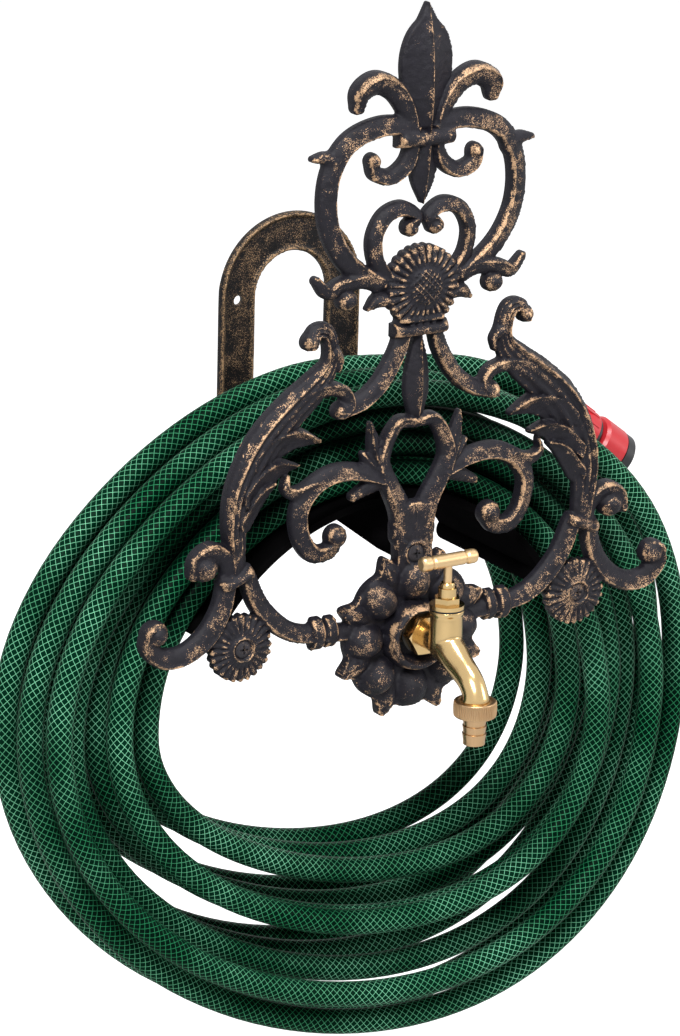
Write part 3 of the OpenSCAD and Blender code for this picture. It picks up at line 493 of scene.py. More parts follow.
def shade_between_turns(rings, route, radius):
    """How much painted shade the hose's colour gets: 1 on the side of a ring that faces a turn
    beside it, 0 where no other turn is near. The three limits count in radii: how far the other
    turn's middle line is for full shade and for none, and how far along the hose still is the
    ring's own turn."""
    full_shade = 1.5
    no_shade = 2.8
    own_turn = 8.0
    length = distances(route)
    fine = np.linspace(0, length[-1], int(length[-1] / (radius * 0.35)))
    line = np.stack([np.interp(fine, length, route[:, axis]) for axis in range(3)], -1)
    turn_shade = np.zeros(rings.shape[:2])
    for row, ring in enumerate(rings):
        near = np.linalg.norm(line - route[row], axis=1) < radius * (1 + no_shade)
        near &= np.abs(fine - length[row]) > radius * own_turn
        if near.any():
            gap = np.linalg.norm(ring[:, None, :] - line[near][None, :, :], axis=2).min(axis=1)
            turn_shade[row] = np.clip((no_shade - gap / radius) / (no_shade - full_shade), 0.0, 1.0)
    return turn_shade.ravel()


def skin_faces(rows, sides):
    """Faces of a closed skin through rings of points. Each ring is a row with that many sides."""
    i = np.arange(rows - 1)[:, None] * sides
    j = np.arange(sides)[None, :]
    k = (j + 1) % sides
    quads = np.stack([i + j, i + sides + j, i + sides + k, i + k], -1).reshape(-1, 4)
    return list(quads) + [list(range(sides)), list(range((rows - 1) * sides, rows * sides))[::-1]]


def tube(name, route, radius, sides, material, body, yarn_along, yarns_around):
    """Tube along a route. Its UV map counts yarns along the tube and around it."""
    ahead = unit_rows(np.gradient(route, axis=0))
    side = unit_rows(np.cross(np.array([0.0, 1.0, 0.0]), ahead))
    up = np.cross(ahead, side)
    angle = np.arange(sides)[None, :, None] * 2 * math.pi / sides
    rings = route[:, None, :] + radius * (side[:, None, :] * np.cos(angle) + up[:, None, :] * np.sin(angle))
    rows = len(route)
    made = new_piece(name, rings.reshape(-1, 3) * MM, skin_faces(rows, sides), material, body)
    length = distances(route)
    u0 = np.repeat(length[:-1] / yarn_along, sides)
    u1 = np.repeat(length[1:] / yarn_along, sides)
    v0 = np.tile(np.arange(sides) / sides * yarns_around, rows - 1)
    v1 = v0 + yarns_around / sides
    corners = [np.stack(corner, -1) for corner in ((u0, v0), (u1, v0), (u1, v1), (u0, v1))]
    flat = np.concatenate([np.stack(corners, 1).reshape(-1, 2), np.zeros((2 * sides, 2))]).ravel()
    made.data.uv_layers.new(name="wrap").data.foreach_set("uv", flat.astype(np.float32))
    # Painted shade between the turns, which darkens the hose's colour.
    mark_points(made, "turn_shade", shade_between_turns(rings, route, radius))
    return made, length[-1]


route = hose_route()
hose, hose_length = tube("braided_hose", route, HOSE_D / 2, HOSE_SIDES, HOSE_GREEN, "holder",
                         YARN_ALONG, YARNS_AROUND)
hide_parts("hose_coil")


# Relief castings. A relief is a height field on a grid in the plane of the ornament, with its
# outline where the cover falls to 0. Bars have their edge at the rim's height over the back and
# their ridge at the crest's. The back and the middle screw have their places in the frame.

RIM = 4.5
CREST = 9.5
BACK = -154.0
SCREW_Z = -70.0
OUTSIDE = -50.0


def lattice_noise(x, z, size, seed):
    """Smooth noise between -1 and 1 with features of that size."""
    table = np.random.default_rng(seed).uniform(-1, 1, (257, 257))
    u = np.mod(x / size, 256.0)
    v = np.mod(z / size, 256.0)
    i = u.astype(int)
    j = v.astype(int)
    a = u - i
    b = v - j
    a = a * a * (3 - 2 * a)
    b = b * b * (3 - 2 * b)
    return ((table[i, j] * (1 - a) + table[i + 1, j] * a) * (1 - b)
            + (table[i, j + 1] * (1 - a) + table[i + 1, j + 1] * a) * b)


def soft_max(a, b, k):
    """The larger of two, rounded over where they are within k of each other."""
    return np.maximum(a, b) + np.maximum(0.0, k - np.abs(a - b)) ** 2 / (4 * k)


class Relief:
    """A casting in relief. rubbed says how far its high places are rubbed to bronze."""

    def __init__(self, x0, x1, z0, z1, cell):
        self.cell = cell
        self.x = np.arange(x0, x1 + cell / 2, cell)
        self.z = np.arange(z0, z1 + cell / 2, cell)
        self.X, self.Z = np.meshgrid(self.x, self.z, indexing="ij")
        self.cover = np.full(self.X.shape, OUTSIDE)
        self.height = np.zeros(self.X.shape)
        self.rubbed = np.ones(self.X.shape)

    def window(self, x0, x1, z0, z1):
        """The grid's cells within a rectangle."""
        i0, i1 = np.searchsorted(self.x, [x0, x1])
        j0, j1 = np.searchsorted(self.z, [z0, z1])
        return slice(max(0, i0 - 1), i1 + 1), slice(max(0, j0 - 1), j1 + 1)

    def join(self, win, cover, height, blend=1.6):
        """Add a shape to the cells of a window. Shapes that overlap flow into each other."""
        old_cover = self.cover[win]
        old_height = self.height[win]
        both = (cover > 0) & (old_cover > 0)
        alone = np.where(cover > old_cover, height, old_height)
        self.height[win] = np.where(both, soft_max(old_height, height, blend), alone)
        self.cover[win] = soft_max(old_cover, cover, 2.2)

    def stroke(self, path, lean=0.0, rim=RIM, hollow=None, ribs=None, lips=None, level=0.0):
        """A bar along a path of points [x, z, width, height]. lean moves its ridge to one side.
        A bar is round with a thin ridge line on it. One that is hollow is a leaf, whose sides fall
        in a curve from its midrib. ribs are veins that run along it: how many, and how deep. lips
        are ridges along both edges, by place and width, over a bed at that level."""
        full = np.array([list(p) + [CREST] * (4 - len(p)) for p in path], float)
        line = through(full, 9)
        pad = line[:, 2].max() / 2 + 4
        win = self.window(line[:, 0].min() - pad, line[:, 0].max() + pad,
                          line[:, 1].min() - pad, line[:, 1].max() + pad)
        X = self.X[win]
        Z = self.Z[win]
        best = np.full(X.shape, OUTSIDE)
        across = np.zeros(X.shape)
        crest = np.zeros(X.shape)
        part = np.zeros(X.shape)
        steps = len(line) - 1
        for k in range(steps):
            a = line[k]
            b = line[k + 1]
            d = b[:2] - a[:2]
            size = math.hypot(*d)
            if size < 1e-9:
                continue
            t = np.clip(((X - a[0]) * d[0] + (Z - a[1]) * d[1]) / size ** 2, 0, 1)
            ox = X - a[0] - t * d[0]
            oz = Z - a[1] - t * d[1]
            far = np.hypot(ox, oz)
            half = (a[2] + (b[2] - a[2]) * t) / 2
            cover = half - far
            take = cover > best
            best = np.where(take, cover, best)
            sign = np.sign(ox * d[1] - oz * d[0])
            across = np.where(take, sign * far / np.maximum(half, 0.3), across)
            crest = np.where(take, a[3] + (b[3] - a[3]) * t, crest)
            part = np.where(take, (k + t) / steps, part)
        s = np.clip(across, -1, 1)
        roof = np.clip(np.where(s < lean, (s + 1) / (1 + lean), (1 - s) / (1 - lean)), 0, 1)
        edge = np.minimum(rim, crest * 0.6)
        if lips:
            ridge = np.exp(-((np.abs(s) - lips[0]) / lips[1]) ** 2)
            shape = np.clip(ridge + level, 0, 1)
        elif hollow is not None:
            shape = 0.9 * roof ** hollow + 0.1 * np.exp(-((s - lean) / 0.05) ** 2)
        else:
            shape = 0.8 * (1 - (1 - roof) ** 2.6) + 0.2 * np.exp(-((s - lean) / 0.13) ** 2)
        height = edge + (crest - edge) * shape
        if ribs:
            fade = np.clip(np.minimum(part, 1 - part) * 6, 0, 1) * np.clip((1 - np.abs(s)) * 5, 0, 1)
            height -= ribs[1] * fade * (0.5 - 0.5 * np.cos(math.pi * ribs[0] * (s - lean)))
        self.join(win, best, height)

    def ball(self, x, z, r, h, foot=3.6):
        """Round knob of radius r and height h, on a foot."""
        win = self.window(x - r - 2, x + r + 2, z - r - 2, z + r + 2)
        X = self.X[win] - x
        Z = self.Z[win] - z
        far = np.hypot(X, Z)
        height = foot + (h - foot) * np.clip(1 - (far / r) ** 2, 0, 1) ** 0.75
        self.join(win, r - far, height, 0.8)

    def bead(self, x, z, w, r):
        """Disc of width w and radius r on an axis along X."""
        win = self.window(x - w, x + w, z - r - 2, z + r + 2)
        X = np.abs(self.X[win] - x)
        Z = np.abs(self.Z[win] - z)
        shoulder = np.clip((X - w * 0.25) / (w * 0.25), 0, 1)
        top = r * np.sqrt(1 - shoulder ** 2 * 0.7)
        height = np.sqrt(np.clip(top ** 2 - Z ** 2, 0, None))
        self.join(win, np.minimum(w / 2 - X, top - Z), height, 0.5)

    def band(self, x, z, w, h, turn, height=12.0, foot=4.0, end=5.0):
        """Rounded tie across a bar, w long and h wide, with its ends rounded down."""
        t = math.radians(turn)
        win = self.window(x - w, x + w, z - w, z + w)
        X = self.X[win] - x
        Z = self.Z[win] - z
        u = X * math.cos(t) + Z * math.sin(t)
        v = -X * math.sin(t) + Z * math.cos(t)
        cover = np.minimum(w / 2 - np.abs(u), h / 2 - np.abs(v))
        profile = np.sqrt(np.clip(1 - (v / (h / 2)) ** 2, 0, 1))
        ends = np.sqrt(1 - np.clip((np.abs(u) - w / 2 + end) / end, 0, 1) ** 2)
        self.join(win, cover, foot + (height - foot) * profile * ends, 0.7)

    def polar(self, x, z, reach, shape):
        """A shape given by its distance from a middle and its turn round it."""
        win = self.window(x - reach, x + reach, z - reach, z + reach)
        X = self.X[win] - x
        Z = self.Z[win] - z
        cover, height = shape(np.hypot(X, Z), np.arctan2(Z, X))
        self.join(win, cover, height, 1.0)

    def cut(self, x, z, r):
        """Round hole."""
        self.cover = np.minimum(self.cover, np.hypot(self.X - x, self.Z - z) - r)

    def bore(self, x, z, r, floor):
        """Flat-bottomed recess."""
        inside = np.hypot(self.X - x, self.Z - z) < r
        self.height = np.where(inside, np.minimum(self.height, floor), self.height)

    def finish(self, rough=0.22, edge=1.3, fall=1.1, least=1.2):
        """Round the outline's edge over, and roughen the skin as sand casting does."""
        c = np.clip(self.cover / edge, 0, 1)
        coarse = lattice_noise(self.X, self.Z, 3.1, 5)
        fine = lattice_noise(self.X, self.Z, 1.5, 6)
        self.height = self.height - fall * (1 - np.sqrt(1 - (1 - c) ** 2))
        self.height = np.maximum(self.height + rough * (coarse + 0.6 * fine), least)

    def stands_out(self, reach):
        """Height above the mean of what lies around, within that many cells. Beyond the outline the
        height counts as 4 at most."""
        mean = np.where(self.cover > 0, self.height, np.minimum(self.height, 4.0))
        here = mean.copy()
        for _ in range(2):
            for axis in (0, 1):
                pad = [(reach + 1, reach) if k == axis else (0, 0) for k in (0, 1)]
                sums = np.cumsum(np.pad(mean, pad, mode="edge"), axis=axis)
                size = mean.shape[axis]
                wide = 2 * reach + 1
                high = np.take(sums, range(wide, wide + size), axis=axis)
                low = np.take(sums, range(0, size), axis=axis)
                mean = (high - low) / wide
        return here - mean

    def snapped(self, on, count, half):
        """The grid's X and Z, with the points on the border moved onto the outline. A grid that
        starts at x = 0 is one half, and its seam stays in the middle plane."""
        border = on & (count < 4)
        if half:
            seam = np.zeros(on.shape, bool)
            seam[0] = True
            border &= ~(seam & (count == 2))
        gx, gz = np.gradient(self.cover, self.cell)
        steep = np.maximum(gx ** 2 + gz ** 2, 0.05)
        limit = 0.72 * self.cell / np.sqrt(steep)
        step = np.clip(np.where(border, self.cover / steep, 0.0), -limit, limit)
        X = self.X - step * gx
        if half:
            X[0] = 0.0
        return X, self.Z - step * gz

    def piece(self, name, material, body, flip=False, centre_z=0.0, back=BACK):
        """The casting as a closed piece with a flat back, mirrored where flip is set."""
        used = (self.cover[:-1, :-1] + self.cover[1:, :-1] + self.cover[:-1, 1:] + self.cover[1:, 1:]) > 0
        count = np.zeros(self.cover.shape, int)
        for di in (0, 1):
            for dj in (0, 1):
                count[di:count.shape[0] - 1 + di, dj:count.shape[1] - 1 + dj] += used
        on = count > 0
        n = int(on.sum())
        half = self.x[0] == 0
        X, Z = self.snapped(on, count, half)
        side = -1.0 if flip else 1.0
        front = np.stack([side * X[on], back - self.height[on], Z[on] + centre_z], -1)
        rear = front.copy()
        rear[:, 1] = back

        index = np.full(on.shape, -1)
        index[on] = np.arange(n)
        a = index[:-1, :-1][used]
        b = index[1:, :-1][used]
        c = index[1:, 1:][used]
        d = index[:-1, 1:][used]
        top = np.stack([a, b, c, d], -1)
        bottom = np.stack([d, c, b, a], -1) + n
        edges = np.concatenate([np.stack(pair, -1) for pair in ((a, b), (b, c), (c, d), (d, a))])
        key = edges[:, 0].astype(np.int64) * (n + 1) + edges[:, 1]
        back_key = edges[:, 1].astype(np.int64) * (n + 1) + edges[:, 0]
        free = edges[~np.isin(key, back_key)]
        if half:
            on_axis = np.abs(front[:, 0]) < 1e-9
            free = free[~(on_axis[free[:, 0]] & on_axis[free[:, 1]])]
        wall = np.stack([free[:, 1], free[:, 0], free[:, 0] + n, free[:, 1] + n], -1)
        faces = np.concatenate([top, bottom, wall])
        if flip:
            faces = faces[:, ::-1]

        made = new_piece(name, np.concatenate([front, rear]) * MM, faces, material, body)
        ridge = self.stands_out(1) * 1.7 * self.rubbed
        proud = self.stands_out(6) * 0.45 * self.rubbed
        for mark, value in (("ridge", ridge), ("proud", proud)):
            mark_points(made, mark, np.clip(np.concatenate([value[on], np.zeros(n)]), -1.0, 1.0))
        sharpen(made, 50.0)
        return made


def sharpen(piece, degrees):
    """Smooth shading that breaks at edges sharper than that."""
    mesh = bmesh.new()
    mesh.from_mesh(piece.data)
    limit = math.radians(degrees)
    for edge in mesh.edges:
        if len(edge.link_faces) == 2 and edge.calc_face_angle(0.0) > limit:
            edge.smooth = False
    mesh.to_mesh(piece.data)
    mesh.free()


# Ornament, its right half, with x and z from the middle screw

TAP_Z = -50.0
TAP_HOLE_R = 11.0
TAP_SEAT_R = 14.75
TAP_SEAT_H = 16.0
SCREW_HOLE_R = 3.3
FLOWER_Z = -54.0
SHELL_Z = 175.0
ROSETTE = (126.0, -45.0)


def shell(far, turn):
    """Fluted shell round a woven middle."""
    flute = np.abs(np.sin(14 * turn))
    edge = 25.0 + 1.2 * flute
    s = np.clip(far / edge, 0, 1)
    height = 12.5 - 4.2 * s ** 2 + 2.8 * (flute ** 0.6 - 0.5) * np.clip((s - 0.5) * 6, 0, 1)
    core = np.clip(1 - far / 12.0, 0, 1) ** 0.5
    u = far * np.cos(turn)
    v = far * np.sin(turn)
    weave = np.maximum(np.abs(np.cos(0.75 * (u + v))), np.abs(np.cos(0.75 * (u - v)))) ** 4
    height += 2.2 * core + 1.5 * np.clip(core * 3, 0, 1) * (weave - 0.4)
    return edge - far, height


def rosette(far, turn):
    """Ribbed disc round a screw."""
    rib = np.abs(np.cos(12 * turn))
    edge = 20.6 + 1.4 * rib
    s = np.clip(far / edge, 0, 1)
    height = 9.0 + np.clip((s - 0.4) * 5, 0, 1) * (1.5 * (rib - 0.55) - 2.6 * s ** 2)
    return edge - far, height


def flower(far, turn):
    """Flower of eight buds and eight pointed tips, with a raised lip round the tap's seat."""
    lobe = np.cos(8 * turn)
    tip = np.clip(-lobe, 0, 1)
    edge = 57.0 * (0.85 + 0.15 * tip ** 3 + 0.02 * np.clip(lobe, 0, 1))
    s = np.clip(far / edge, 0, 1)
    step = math.pi / 4
    off = turn - step * np.round(turn / step)
    groove = np.abs(step / 2 - np.abs(off)) * far
    height = 6.6 + 4.2 * tip ** 2 * np.clip((s - 0.5) * 4, 0, 1) * np.clip((1 - s) * 7, 0.45, 1)
    height -= 1.6 * np.exp(-(groove / 1.1) ** 2) * np.clip((s - 0.7) * 8, 0, 1)
    bud = np.hypot((far * np.cos(off) - 35.5) / 13.6, far * np.sin(off) / 11.8)
    dome = 6.4 + 12.6 * np.clip(1 - bud ** 2, 0, 1) ** 0.8
    height = np.where(bud < 1, soft_max(height, dome, 1.2), height)
    lip = np.clip(1 - (np.abs(far - 18.6) / 4.2) ** 2, 0, 1) ** 0.6
    height = np.where(far < 22.8, np.maximum(height, 7 + 14.0 * lip), height)
    return edge - far, height


def ornament():
    """The right half of the casting, with its seam on x = 0."""
    r = Relief(0.0, 203.0, -118.0, 356.0, 0.9)
    # Lily
    r.stroke([[0, 278, 14, 12], [0, 296, 28, 13.5], [0, 312, 37, 13], [0, 325, 33, 12],
              [0, 338, 16, 9.5], [0, 352, 3, 6]], hollow=1.5, rim=5.0)
    r.stroke([[9, 272, 8], [14, 287, 12], [23, 300, 14, 10.5], [36, 306, 15, 13], [47, 301, 14, 13],
              [49, 292, 10, 8]], lean=-0.55)
    r.stroke([[9, 268, 8], [13, 254, 10], [24, 246, 10], [35, 249, 10], [38, 257, 9]], lean=0.62)
    r.ball(37, 257, 4.8, 10.5)
    r.stroke([[0, 270, 10, 12], [0, 256, 19, 11], [0, 244, 17, 9.5], [0, 228, 3, 6]], hollow=1.4)
    r.band(0, 269, 42, 11, 0, 12.5)
    # Ring
    r.stroke([[10, 277, 12], [33, 278, 13], [54, 271, 13], [66, 256, 13], [70, 238, 13], [68, 219, 13],
              [60, 202, 13], [48, 189, 13], [32, 179, 12]], lean=0.62)
    r.stroke([[64, 258, 12, 8], [72, 262, 8, 8], [80, 262, 4, 7]])
    # Heart
    r.stroke([[9, 213, 10, 11], [4, 219, 8], [15, 225, 10], [28, 221, 10], [35, 208, 10], [33, 193, 10],
              [25, 181, 10]], lean=0.6)
    r.ball(9, 212, 5.6, 11.5)
    # Side arm
    r.stroke([[24, 178, 10], [42, 182, 11], [58, 180, 11], [68, 177, 9], [76, 185, 6, 7]], lean=-0.55)
    r.stroke([[18, 168, 12], [30, 168, 10], [38, 163, 3, 6]])
    r.ball(54, 171, 7, 12)
    # Arms that part below the neck, and the drop leaf
    r.stroke([[12, 145, 10], [17, 131, 11], [28, 114, 11], [41, 104, 11], [55, 100, 11]], lean=0.6)
    r.stroke([[0, 144, 4, 8], [0, 126, 14, 10], [0, 110, 18, 11], [0, 98, 14, 10], [0, 84, 4, 6]], hollow=1.3)
    r.band(0, 154, 34, 6, 0, 12)
    r.band(0, 147, 40, 9, 0, 12.5)
    # Acanthus: lobes with a raised upper lip, and long ribs on the stem
    r.stroke([[84, 111, 12], [68, 115, 10], [55, 112, 9], [51, 104, 9], [57, 99, 9, 11]], lean=0.55)
    r.stroke([[104, 96, 14, 10], [90, 100, 11, 9], [77, 106, 4, 7]], lean=0.6, hollow=1.5, rim=3.6)
    r.stroke([[114, 74, 20, 11], [104, 82, 19, 10.5], [88, 86, 14, 10], [72, 82, 4, 8]],
             lean=0.72, hollow=1.7, rim=3.4)
    r.stroke([[120, 52, 20, 11], [110, 63, 17, 10.5], [100, 68, 12, 9.5], [88, 68, 4, 8]],
             lean=0.72, hollow=1.7, rim=3.4)
    r.stroke([[125, 36, 14, 10], [113, 52, 11], [103, 58, 4, 7]], lean=0.6, hollow=1.5, rim=3.6)
    r.stroke([[62, 138, 8], [57, 133, 5, 7], [58, 126, 3, 6]])
    r.stroke([[80, 146, 9, 11], [76, 153, 9], [68, 152, 11], [64, 142, 11], [65, 130, 13], [75, 118, 20, 11],
              [92, 104, 24, 12], [109, 88, 25, 12.5], [121, 70, 24, 12.5], [129, 52, 20, 12],
              [131, 34, 17, 11.5], [130, 17, 14, 10.5], [129, 2, 12]], lean=-0.6, ribs=(4.0, 1.5))
    r.ball(80, 147, 5.2, 11.5)
    r.ball(57, 100, 4.6, 11)
    # Curled leaf beside the tie
    r.stroke([[134, 2, 10], [137, 14, 12], [148, 21, 12, 11], [158, 17, 10], [160, 8, 9]], lean=-0.62)
    r.ball(152, 11, 9, 13)
    # Outer hook
    r.stroke([[136, 0, 12], [140, -18, 13], [150, -34, 14], [166, -44, 13], [181, -44, 13], [191, -35, 12],
              [190, -26, 12, 12]], lean=0.62)
    r.ball(186.5, -27, 8.4, 13)
    # Inner arm with its two beads
    r.stroke([[122, 2, 12], [113, -18, 13], [100, -33, 13], [85, -42, 12], [66, -45, 11], [46, -47, 11]],
             lean=-0.6)
    r.bead(70, -45, 10, 11)
    r.bead(60, -45, 9, 10.5)
    r.band(130, 1, 25, 8, -20, 12.5)
    # Lyre
    r.stroke([[7, 12, 15], [10, 30, 15], [18, 46, 13], [24, 60, 12], [21, 74, 10], [13, 86, 9], [3, 86, 8]],
             lean=0.55)
    r.stroke([[23, 56, 10], [29, 70, 11, 9], [33, 88, 3, 6]], lean=0.45, hollow=1.3, ribs=(3.0, 0.8))
    r.stroke([[26, 56, 8], [34, 64, 8, 7], [38, 69, 4, 6]], hollow=1.2)
    # Inner scroll
    r.stroke([[24, 52, 10], [42, 58, 11], [60, 59, 12], [76, 52, 12], [85, 38, 12], [83, 21, 12],
              [74, 9, 12], [62, 9, 11], [56, 17, 11]], lean=0.6)
    r.ball(57.5, 18, 7.6, 12.5)
    r.stroke([[74, 54, 8], [87, 50, 9, 8], [95, 54, 6, 8], [94, 62, 3, 7]], lean=-0.55)
    r.stroke([[22, 50, 10, 7], [36, 46, 9, 7], [45, 42, 6, 7]])
    # Middle block
    r.stroke([[0, -18, 26, 9], [0, 10, 27, 9], [0, 22, 24, 9]], hollow=0.05, rim=8.6)
    r.bead(10, 15, 12, 8)
    # Shell, rosette and flower
    r.polar(0, SHELL_Z, 30, shell)
    r.polar(*ROSETTE, 26, rosette)
    r.polar(0, FLOWER_Z, 64, flower)
    r.rubbed[np.hypot(r.X, r.Z - FLOWER_Z) < 24] = 0.5
    r.finish()
    # Seat and hole of the tap, and each screw's hole with its countersink inside a raised ring
    r.bore(0, TAP_Z, TAP_SEAT_R, TAP_SEAT_H)
    r.cut(0, TAP_Z, TAP_HOLE_R)
    for x, z in ((0, 0), ROSETTE):
        far = np.hypot(r.X - x, r.Z - z)
        r.height += 1.7 * np.exp(-((far - 7.6) / 0.75) ** 2)
        sink = 9.0 - np.clip(6.3 - far, 0, 3.0)
        r.height = np.where(far < 6.6, np.minimum(r.height, sink), r.height)
        r.cut(x, z, SCREW_HOLE_R)
    return r


cast = ornament()
right_half = cast.piece("ornament_right", IRON_ORNAMENT, "holder", centre_z=SCREW_Z)
left_half = cast.piece("ornament_left", IRON_ORNAMENT, "holder", flip=True, centre_z=SCREW_Z)
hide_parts("front_ornament")


# Wall plate

def wall_plate():
    """An arch over a foot bar, flat, with a rolled lip along both edges and four screw holes."""
    r = Relief(-55.0, 55.0, -87.0, 119.0, 1.0)
    width = 26.0
    leg = 40.0
    top = 117.5 - width / 2
    foot_z = -72.5
    hole_z = 62.5
    hole_r = 3.25
    arc = [[leg * math.cos(a), top - leg + leg * math.sin(a)] for a in np.linspace(0, math.pi, 15)]
    right = [[leg, foot_z], [leg, -20], [leg, 30]]
    left = [[-x, z] for x, z in right[::-1]]
    r.stroke([[x, z, width, PLATE_T] for x, z in right + arc + left], rim=3.4, lips=(0.86, 0.1), level=0.12)
    r.cover = np.where(r.Z < -60, OUTSIDE, r.cover)
    # Foot bar, square at its ends, with its lip open towards the legs
    foot = r.window(-54, 54, -86, -59)
    X = np.abs(r.X[foot])
    Z = r.Z[foot]
    outer = np.minimum(leg + width / 2 - X, Z - foot_z + width / 2)
    cover = np.minimum(outer, -59.5 - Z + np.clip(X - (leg - width / 2), 0, 4))
    r.join(foot, cover, 3.6 + 1.4 * np.exp(-((cover - 1.8) / 1.3) ** 2), 0.5)
    r.finish(0.12)
    for x in (-leg, leg):
        for z in (-hole_z, hole_z):
            r.cut(x, z, hole_r)
    return r


plate = wall_plate().piece("wall_plate", IRON_PLATE, "holder", back=0.0)
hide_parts("wall_arch")


# Pieces that repeat, grown with Geometry Nodes in millimetres about their own Z axis

class Rule(Graph):
    """A Geometry Nodes tree with named inputs, ended by Realize Instances and Set Material."""

    def __init__(self, name, inputs):
        super().__init__(bpy.data.node_groups.new(name, "GeometryNodeTree"))
        sockets = self.tree.interface
        self.ids = {}
        for label, kind in dict(inputs, Finish="NodeSocketMaterial").items():
            self.ids[label] = sockets.new_socket(label, in_out="INPUT", socket_type=kind).identifier
        sockets.new_socket("Geometry", in_out="OUTPUT", socket_type="NodeSocketGeometry")
        self.given = self.node("NodeGroupInput", out=None)
        self.end = self.node("NodeGroupOutput", out=None)

    def input(self, label):
        return Sock(self, self.given.outputs[label])

    def vector(self, x, y, z):
        return self.node("ShaderNodeCombineXYZ", {}, {0: x, 1: y, 2: z})

    def moved(self, shape, **how):
        return self.node("GeometryNodeTransform", {}, dict(how, Geometry=shape))

    def together(self, *shapes):
        made = self.node("GeometryNodeJoinGeometry", out=None)
        for shape in shapes:
            self.feed(made.inputs[0], shape)
        return Sock(self, made.outputs[0])

    def close(self, shape):
        real = self.node("GeometryNodeRealizeInstances", {}, {"Geometry": shape})
        done = self.node("GeometryNodeSetMaterial", {}, {"Geometry": real, "Material": self.input("Finish")})
        self.feed(self.end.inputs[0], done)
        return self

    def grow(self, name, body, place, material, **sizes):
        """The tree's result at those sizes, as a plain mesh put in its place."""
        start = placed(name + "_start", bpy.data.meshes.new(name + "_start"))
        rule = start.modifiers.new("rule", "NODES")
        rule.node_group = self.tree
        for label, value in dict(sizes, Finish=material).items():
            rule[self.ids[label.replace("_", " ")]] = value
        mesh = settled(start)
        mesh.transform(place @ Matrix.Scale(MM, 4))
        mesh.name = name
        made = placed(name, mesh)
        outwards(made)
        sharpen(made, 40.0)
        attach(made, body)
        return made


def settled(start):
    """The plain mesh that an object's modifiers give. The object itself goes."""
    depsgraph = bpy.context.evaluated_depsgraph_get()
    mesh = bpy.data.meshes.new_from_object(start.evaluated_get(depsgraph), depsgraph=depsgraph)
    bpy.data.objects.remove(start)
    return mesh


def outwards(piece):
    """Join points that lie on each other, and turn every face outwards."""
    mesh = bmesh.new()
    mesh.from_mesh(piece.data)
    bmesh.ops.remove_doubles(mesh, verts=mesh.verts, dist=1e-6)
    bmesh.ops.recalc_face_normals(mesh, faces=mesh.faces)
    mesh.to_mesh(piece.data)
    mesh.free()
    smooth(piece.data)


def standing(point, up):
    """Matrix that stands a piece made about Z on a point, in millimetres, along a direction."""
    turn = Vector(up).normalized().to_track_quat("Z", "Y").to_matrix().to_4x4()
    return Matrix.Translation(Vector(point) * MM) @ turn


def ribbed_ring():
    """A ring with rounded edges and upright ribs round it."""
    rule = Rule("ribbed_ring", {
        "Radius": "NodeSocketFloat", "Bore": "NodeSocketFloat", "Height": "NodeSocketFloat",
        "Edge": "NodeSocketFloat", "Ribs": "NodeSocketInt", "Rib width": "NodeSocketFloat",
        "Rib height": "NodeSocketFloat"})
    outer = rule.input("Radius")
    bore = rule.input("Bore")
    path = rule.node("GeometryNodeCurvePrimitiveCircle", {}, {
        "Resolution": 96, "Radius": (outer + bore) / 2.0})
    wall = rule.node("GeometryNodeCurvePrimitiveQuadrilateral", {}, {
        "Width": outer - bore, "Height": rule.input("Height")})
    wall = rule.node("GeometryNodeFilletCurve", {"mode": "POLY"}, {
        "Curve": wall, "Count": 4, "Radius": rule.input("Edge")})
    ring = rule.node("GeometryNodeCurveToMesh", {}, {"Curve": path, "Profile Curve": wall})
    rib = rule.node("GeometryNodeMeshUVSphere", {}, {"Segments": 8, "Rings": 8, "Radius": 1.0})
    half = rule.input("Rib width") / 2.0
    rib = rule.moved(rib, Scale=rule.vector(half, half, rule.input("Rib height") / 2.0))
    posts = rule.node("GeometryNodeMeshCircle", {}, {"Vertices": rule.input("Ribs"), "Radius": outer})
    ribs = rule.node("GeometryNodeInstanceOnPoints", {}, {"Points": posts, "Instance": rib})
    return rule.close(rule.together(ring, ribs))


def cross_screws():
    """Domed screws with a cross in the head, standing along Z. One is in the middle and one at
    each side, lower down. Rise is the dome's, and Slot the width of the cross."""
    rule = Rule("cross_screws", {
        "Head": "NodeSocketFloat", "Rise": "NodeSocketFloat", "Slot": "NodeSocketFloat",
        "Shank": "NodeSocketFloat", "Length": "NodeSocketFloat", "Side": "NodeSocketFloat",
        "Drop": "NodeSocketFloat"})
    half = rule.input("Head") / 2.0
    dome = rule.node("GeometryNodeMeshUVSphere", {}, {"Segments": 40, "Rings": 20, "Radius": 1.0})
    dome = rule.moved(dome, Scale=rule.vector(half, half, rule.input("Rise")))
    slot = rule.input("Slot")
    deep = 1.1
    tall = 3.0
    lift = rule.vector(0.0, 0.0, rule.input("Rise") + (tall / 2 - deep))
    head = dome
    for size in ((half, slot, tall), (slot, half, tall)):
        bar = rule.node("GeometryNodeMeshCube", {}, {"Size": rule.vector(*size)})
        bar = rule.moved(bar, Translation=lift)
        head = rule.node("GeometryNodeMeshBoolean", {"operation": "DIFFERENCE"}, {
            "Mesh 1": head, "Mesh 2": bar})
    shank = rule.node("GeometryNodeMeshCylinder", {}, {
        "Vertices": 24, "Radius": rule.input("Shank") / 2.0, "Depth": rule.input("Length")})
    shank = rule.moved(shank, Translation=rule.vector(0.0, 0.0, rule.input("Length") * -0.5))
    screw = rule.together(head, shank)
    side = rule.input("Side")
    drop = rule.input("Drop")
    places = [rule.vector(0.0, 0.0, 0.0), rule.vector(side, -drop, 0.0), rule.vector(-side, -drop, 0.0)]
    points = [rule.node("GeometryNodePoints", {}, {"Count": 1, "Position": place}) for place in places]
    row = rule.together(*points)
    return rule.close(rule.node("GeometryNodeInstanceOnPoints", {}, {"Points": row, "Instance": screw}))


